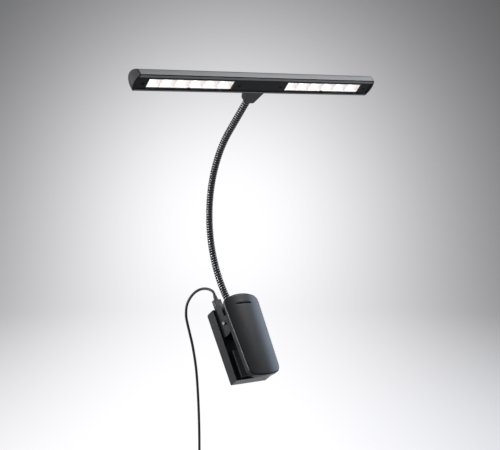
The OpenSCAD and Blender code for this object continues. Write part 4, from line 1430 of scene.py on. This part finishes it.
@dataclass
class FrontJaw:
    """The crowned jaw with its side walls, thumb grip, ears and pad seat."""

    palette: Palette
    top: float = 62.5
    foot: float = -22.0
    half_top: float = 20.5
    half_tip: float = 17.5
    corner: float = 5.0
    top_arc: float = 52.0
    tip_arc: float = 45.0
    crown: float = 60.0
    out: float = 22.5
    thick: float = 2.6
    skirt: float = 1.8
    skirt_back: float = 13.5
    skirt_rows: int = 5
    skirt_edge: float = 0.25
    rim: float = 1.3
    pin: Pair = (-7.0, 39.5)
    lean: float = 1.0
    grip_w: float = 20.0
    grip_h: float = 2.4
    grip_d: float = 0.6
    grip_out: float = 0.9
    grip_down: float = 8.25
    ear_x: float = 11.7
    ear_t: float = 3.4
    ear_r: float = 4.0
    ear_in: float = 1.2
    seat_x: float = 14.5
    seat_z: Pair = (-18.0, 2.0)
    seat_y: Pair = (14.0, 18.2)
    columns: int = 480
    front_rows: int = 150
    inner_rows: int = 24
    farthest: float = 80.0
    halvings: int = 40

    def placed(self, points: Array) -> Array:
        """From the jaw's own frame to the part's: leaned about the pin, then with the clip.

        Args:
            points: in the jaw's frame.

        Returns:
            The points in the part's frame.
        """
        pin = np.array([0.0, *self.pin])
        return leaned(leaned(points - pin, -self.lean) + pin, CLIP_LEAN)

    def edge(self, x: Array, z: Array) -> Array:
        """How far a point lies outside the outline.

        Sides, top arc and tip arc are met with corners of one radius: for two distances a and b the rounded
        meeting is min(-r, max(a, b)) + length of (r + a, r + b) above 0.

        Args:
            x: place across.
            z: height.

        Returns:
            The distance, below 0 inside.
        """
        width = self.half_tip + (self.half_top - self.half_tip) * (z - self.foot) / (self.top - self.foot)
        top = np.hypot(x, z - self.top + self.top_arc) - self.top_arc
        tip = np.hypot(x, z - self.foot - self.tip_arc) - self.tip_arc
        r, met = self.corner, np.abs(x) - width
        for arc in (top, tip):
            met = np.minimum(-r, np.maximum(met, arc)) + np.hypot(np.maximum(r + met, 0), np.maximum(r + arc, 0))
        return met

    def ring(self, turn: Array, inset: float) -> Array:
        """The outline drawn in by inset, found along rays from the jaw's middle by halving.

        Args:
            turn: directions of the rays, in radians.
            inset: how far it is drawn in.

        Returns:
            x and z.
        """
        middle = (self.top + self.foot) / 2
        low, high = np.zeros_like(turn), np.full_like(turn, self.farthest)
        for _ in range(self.halvings):
            mid = (low + high) / 2
            inside = self.edge(mid * np.sin(turn), middle + mid * np.cos(turn)) < -inset
            low, high = np.where(inside, mid, low), np.where(inside, high, mid)
        return np.stack([low * np.sin(turn), middle + low * np.cos(turn)], -1)

    def front(self, flat: Array) -> Array:
        """Depth of the crowned front: a cylinder about an upright line.

        Args:
            flat: x and z.

        Returns:
            y.
        """
        return self.crown - self.out - np.sqrt(self.crown**2 - flat[..., 0] ** 2)

    def grip(self, flat: Array) -> Array:
        """Relief of the thumb grip, between an arc above and its chord below.

        With u from 0 on the chord to 1 on the arc, the front ramps outwards from the arc down to u = 0.4, drops
        back steeply by u = 0.15 and sinks a little on the chord; all fade where the arc meets the chord.

        Args:
            flat: x and z.

        Returns:
            Depth below the front.
        """
        x, z = flat[..., 0], flat[..., 1]
        arc = ((self.grip_w / 2) ** 2 + self.grip_h**2) / (2 * self.grip_h)
        upper = self.top - self.grip_down - arc + np.sqrt(np.maximum(arc**2 - x**2, 0))
        lower = self.top - self.grip_down - self.grip_h
        span = np.maximum(upper - lower, 1e-3)
        u = (z - lower) / span
        ramp = np.clip((1.1 - u) / 0.7, 0, 1) * np.clip((u - 0.15) / 0.25, 0, 1)
        sunk = np.clip((u + 0.25) / 0.3, 0, 1) * np.clip((0.3 - u) / 0.2, 0, 1)
        return (self.grip_d * sunk - self.grip_out * ramp) * np.clip(span / 0.5, 0, 1)

    def back(self, flat: Array) -> Array:
        """Depth of the side walls' rear edge: level with the board, then rising to the top.

        Args:
            flat: x and z.

        Returns:
            y.
        """
        a = np.radians(self.lean)
        z = flat[..., 1]
        y, pin_z = self.pin
        level = y + (-self.skirt_back - y + (z - pin_z) * np.sin(a)) / np.cos(a)
        slope = level - np.clip(z - pin_z, 0, None) * (self.out - self.skirt_back) / (self.top - 1 - pin_z)
        return np.maximum(slope, self.front(flat) + self.thick)

    def shell(self) -> Object:
        """Rings from the front's middle over its rim, down the side walls and back inside to the middle.

        Returns:
            The jaw.
        """
        turn = np.linspace(0, 2 * np.pi, self.columns, endpoint=False)
        middle = np.array([0.0, (self.top + self.foot) / 2])
        share = np.linspace(0, 1, self.front_rows)[:, None, None]
        front = middle + share * (self.ring(turn, self.rim) - middle)
        quarter = np.linspace(0, np.pi / 2, 7)[1:]
        over = np.stack([self.ring(turn, self.rim * (1 - np.sin(a))) for a in quarter])
        depth_over = self.front(over) + self.rim * (1 - np.cos(quarter))[:, None]
        outer, inner, e = over[-1], self.ring(turn, self.skirt), self.skirt_edge
        down = np.linspace(0, 1, self.skirt_rows + 1)[1:, None]
        back_outer, back_inner = self.back(outer), self.back(inner)
        depth_side = depth_over[-1] + down * (np.maximum(back_outer - e, depth_over[-1]) - depth_over[-1])
        rim = np.stack([self.ring(turn, e), self.ring(turn, self.skirt - e)])
        depth_rim = np.stack([back_outer, np.maximum(back_inner, back_outer)])
        seat = self.front(inner) + self.thick
        depth_in = np.maximum(back_inner - e, seat) + down * (seat - np.maximum(back_inner - e, seat))
        inside = middle + np.linspace(1, 0, self.inner_rows)[1:, None, None] * (inner - middle)
        walls = [np.broadcast_to(loop, (self.skirt_rows, *loop.shape)) for loop in (outer, inner)]
        flats = np.concatenate([front, over, walls[0], rim, walls[1], inside])
        depth_front, depth_inside = self.front(front) + self.grip(front), self.front(inside) + self.thick
        depths = np.concatenate([depth_front, depth_over, depth_side, depth_rim, depth_in, depth_inside])
        skin = Skin("Front_jaw", self.placed(np.stack([flats[..., 0], depths, flats[..., 1]], -1)))
        return skin.dress(self.palette, Finish.CLIP_PLASTIC, "jaw", ["front_jaw"])

    def ear(self, side: int) -> Object:
        """An ear that holds the pin: a rounded plate drawn out along X.

        Args:
            side: -1 or 1.

        Returns:
            The ear.
        """
        (y, z), r, t = self.pin, self.ear_r, self.ear_t / 2
        root = -self.out + self.thick / 2 + self.ear_in
        corners = [[root, z - r], [y + r, z - r], [y + r, z + r], [root, z + r]]
        rows = pillow(corners, [0.4, r - 0.01, r - 0.01, 0.4], -t, t, (0.3, 0.3))
        grid = self.placed(np.stack([rows[..., 2] + side * self.ear_x, rows[..., 0], rows[..., 1]], -1))
        name = "Jaw_ear_left" if side < 0 else "Jaw_ear_right"
        return Skin(name, grid).dress(self.palette, Finish.CLIP_PLASTIC, "jaw")

    def pad_seat(self) -> Object:
        """The raised land behind the front pad.

        Returns:
            The land.
        """
        x, (low, high) = self.seat_x, self.seat_z
        rows = pillow([[-x, low], [x, low], [x, high], [-x, high]], [1.0] * 4, *self.seat_y, (0.3, 0.3), 6)
        grid = leaned(np.stack([rows[..., 0], -rows[..., 2], rows[..., 1]], -1), CLIP_LEAN)
        return Skin("Jaw_pad_seat", grid).dress(self.palette, Finish.CLIP_PLASTIC, "jaw")

    def build(self) -> list[Object]:
        """Makes the shell, both ears and the pad's seat.

        Returns:
            The pieces.
        """
        return [self.shell(), self.ear(-1), self.ear(1), self.pad_seat()]


# Solids that stay on show


@dataclass
class ShownSolids:
    """The rigid solids that keep their own shape, with softened edges where they are seen close."""

    palette: Palette
    finishes: dict[Finish, str] = field(
        default_factory=lambda: {
            Finish.CLIP_PLASTIC: "rear_housing hinge_block rear_cover battery_door",
            Finish.SCREW_BLACK: "cover_screws face_screws",
            Finish.BOARD_GREEN: "control_board",
            Finish.STEEL: "usb_socket tact_switch ferrule_nut hinge_pin jaw_spring head_ferrule bracket_screws"
            " plug_shell end_plug_shell",
            Finish.CELL_CAN: "battery_cells",
            Finish.CONTACT_BRASS: "battery_contacts",
            Finish.LEAD_BLACK: "clip_leads head_lead",
            Finish.NECK_METAL: "neck_ferrule",
            Finish.PAD_RUBBER: "rear_jaw_pad front_jaw_pad",
            Finish.BUTTON_PLASTIC: "switch_button",
            Finish.FACE_BLACK: "face_plate",
            Finish.WINDOW_CLEAR: "lens_left lens_right",
            # painted light: reflectors and lamp boards glow with the chips' light painted on
            Finish.TRAY_WHITE: "reflector_left reflector_right",
            Finish.BOARD_WHITE: "lamp_board_left lamp_board_right",
            Finish.LAMP_CHIP: "lamp_chips_left lamp_chips_right",
            Finish.PLUG_BLACK: "plug_grip plug_relief end_plug_grip",
            Finish.TIE_BLACK: "coil_tie",
        }
    )
    softened: dict[str, float] = field(
        default_factory=lambda: {
            "rear_housing": 0.8,
            "hinge_block": 0.4,
            "rear_cover": 0.2,
            "battery_door": 0.2,
            "switch_button": 0.4,
            "hinge_pin": 0.6,
            "plug_grip": 0.5,
            "end_plug_grip": 0.6,
            "coil_tie": 0.2,
        }
    )
    join: float = 2e-6
    sharp: float = 40.0
    segments: int = 3

    def build(self) -> None:
        """Gives each solid its finish, and rounds the edges of those that are seen close."""
        for finish, names in self.finishes.items():
            for name in names.split():
                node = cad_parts[name]
                node.data.materials.clear()
                node.data.materials.append(self.palette.of(finish))
                if name in self.softened:
                    self.soften(node, self.softened[name])
                LOG.info("%s: %s", name, finish.value)

    def soften(self, node: Object, width: float) -> None:
        """Joins a solid's loose triangles and rounds its sharp edges.

        Args:
            node: the solid.
            width: width of the rounding.
        """
        weld = node.modifiers.new("Join_triangles", "WELD")
        weld.merge_threshold = self.join
        bevel = node.modifiers.new("Soft_edges", "BEVEL")
        bevel.width = width * MM
        bevel.segments = self.segments
        bevel.limit_method = "ANGLE"
        bevel.angle_limit = np.radians(self.sharp)
        bevel.use_clamp_overlap = True
        even_shading(node)


def main() -> None:
    """Builds the camera and the lead first, then the rest."""
    logging.basicConfig(level=logging.INFO, format="%(name)s: %(message)s")
    palette = Palette()
    Viewpoint().build()
    ChargingLead(palette).build()
    Neck(palette).build()
    LightBar(palette).build()
    FrontJaw(palette).build()
    ShownSolids(palette).build()
    stage = Stage()
    stage.cove()
    stage.light()


if __name__ == "__main__":
    main()
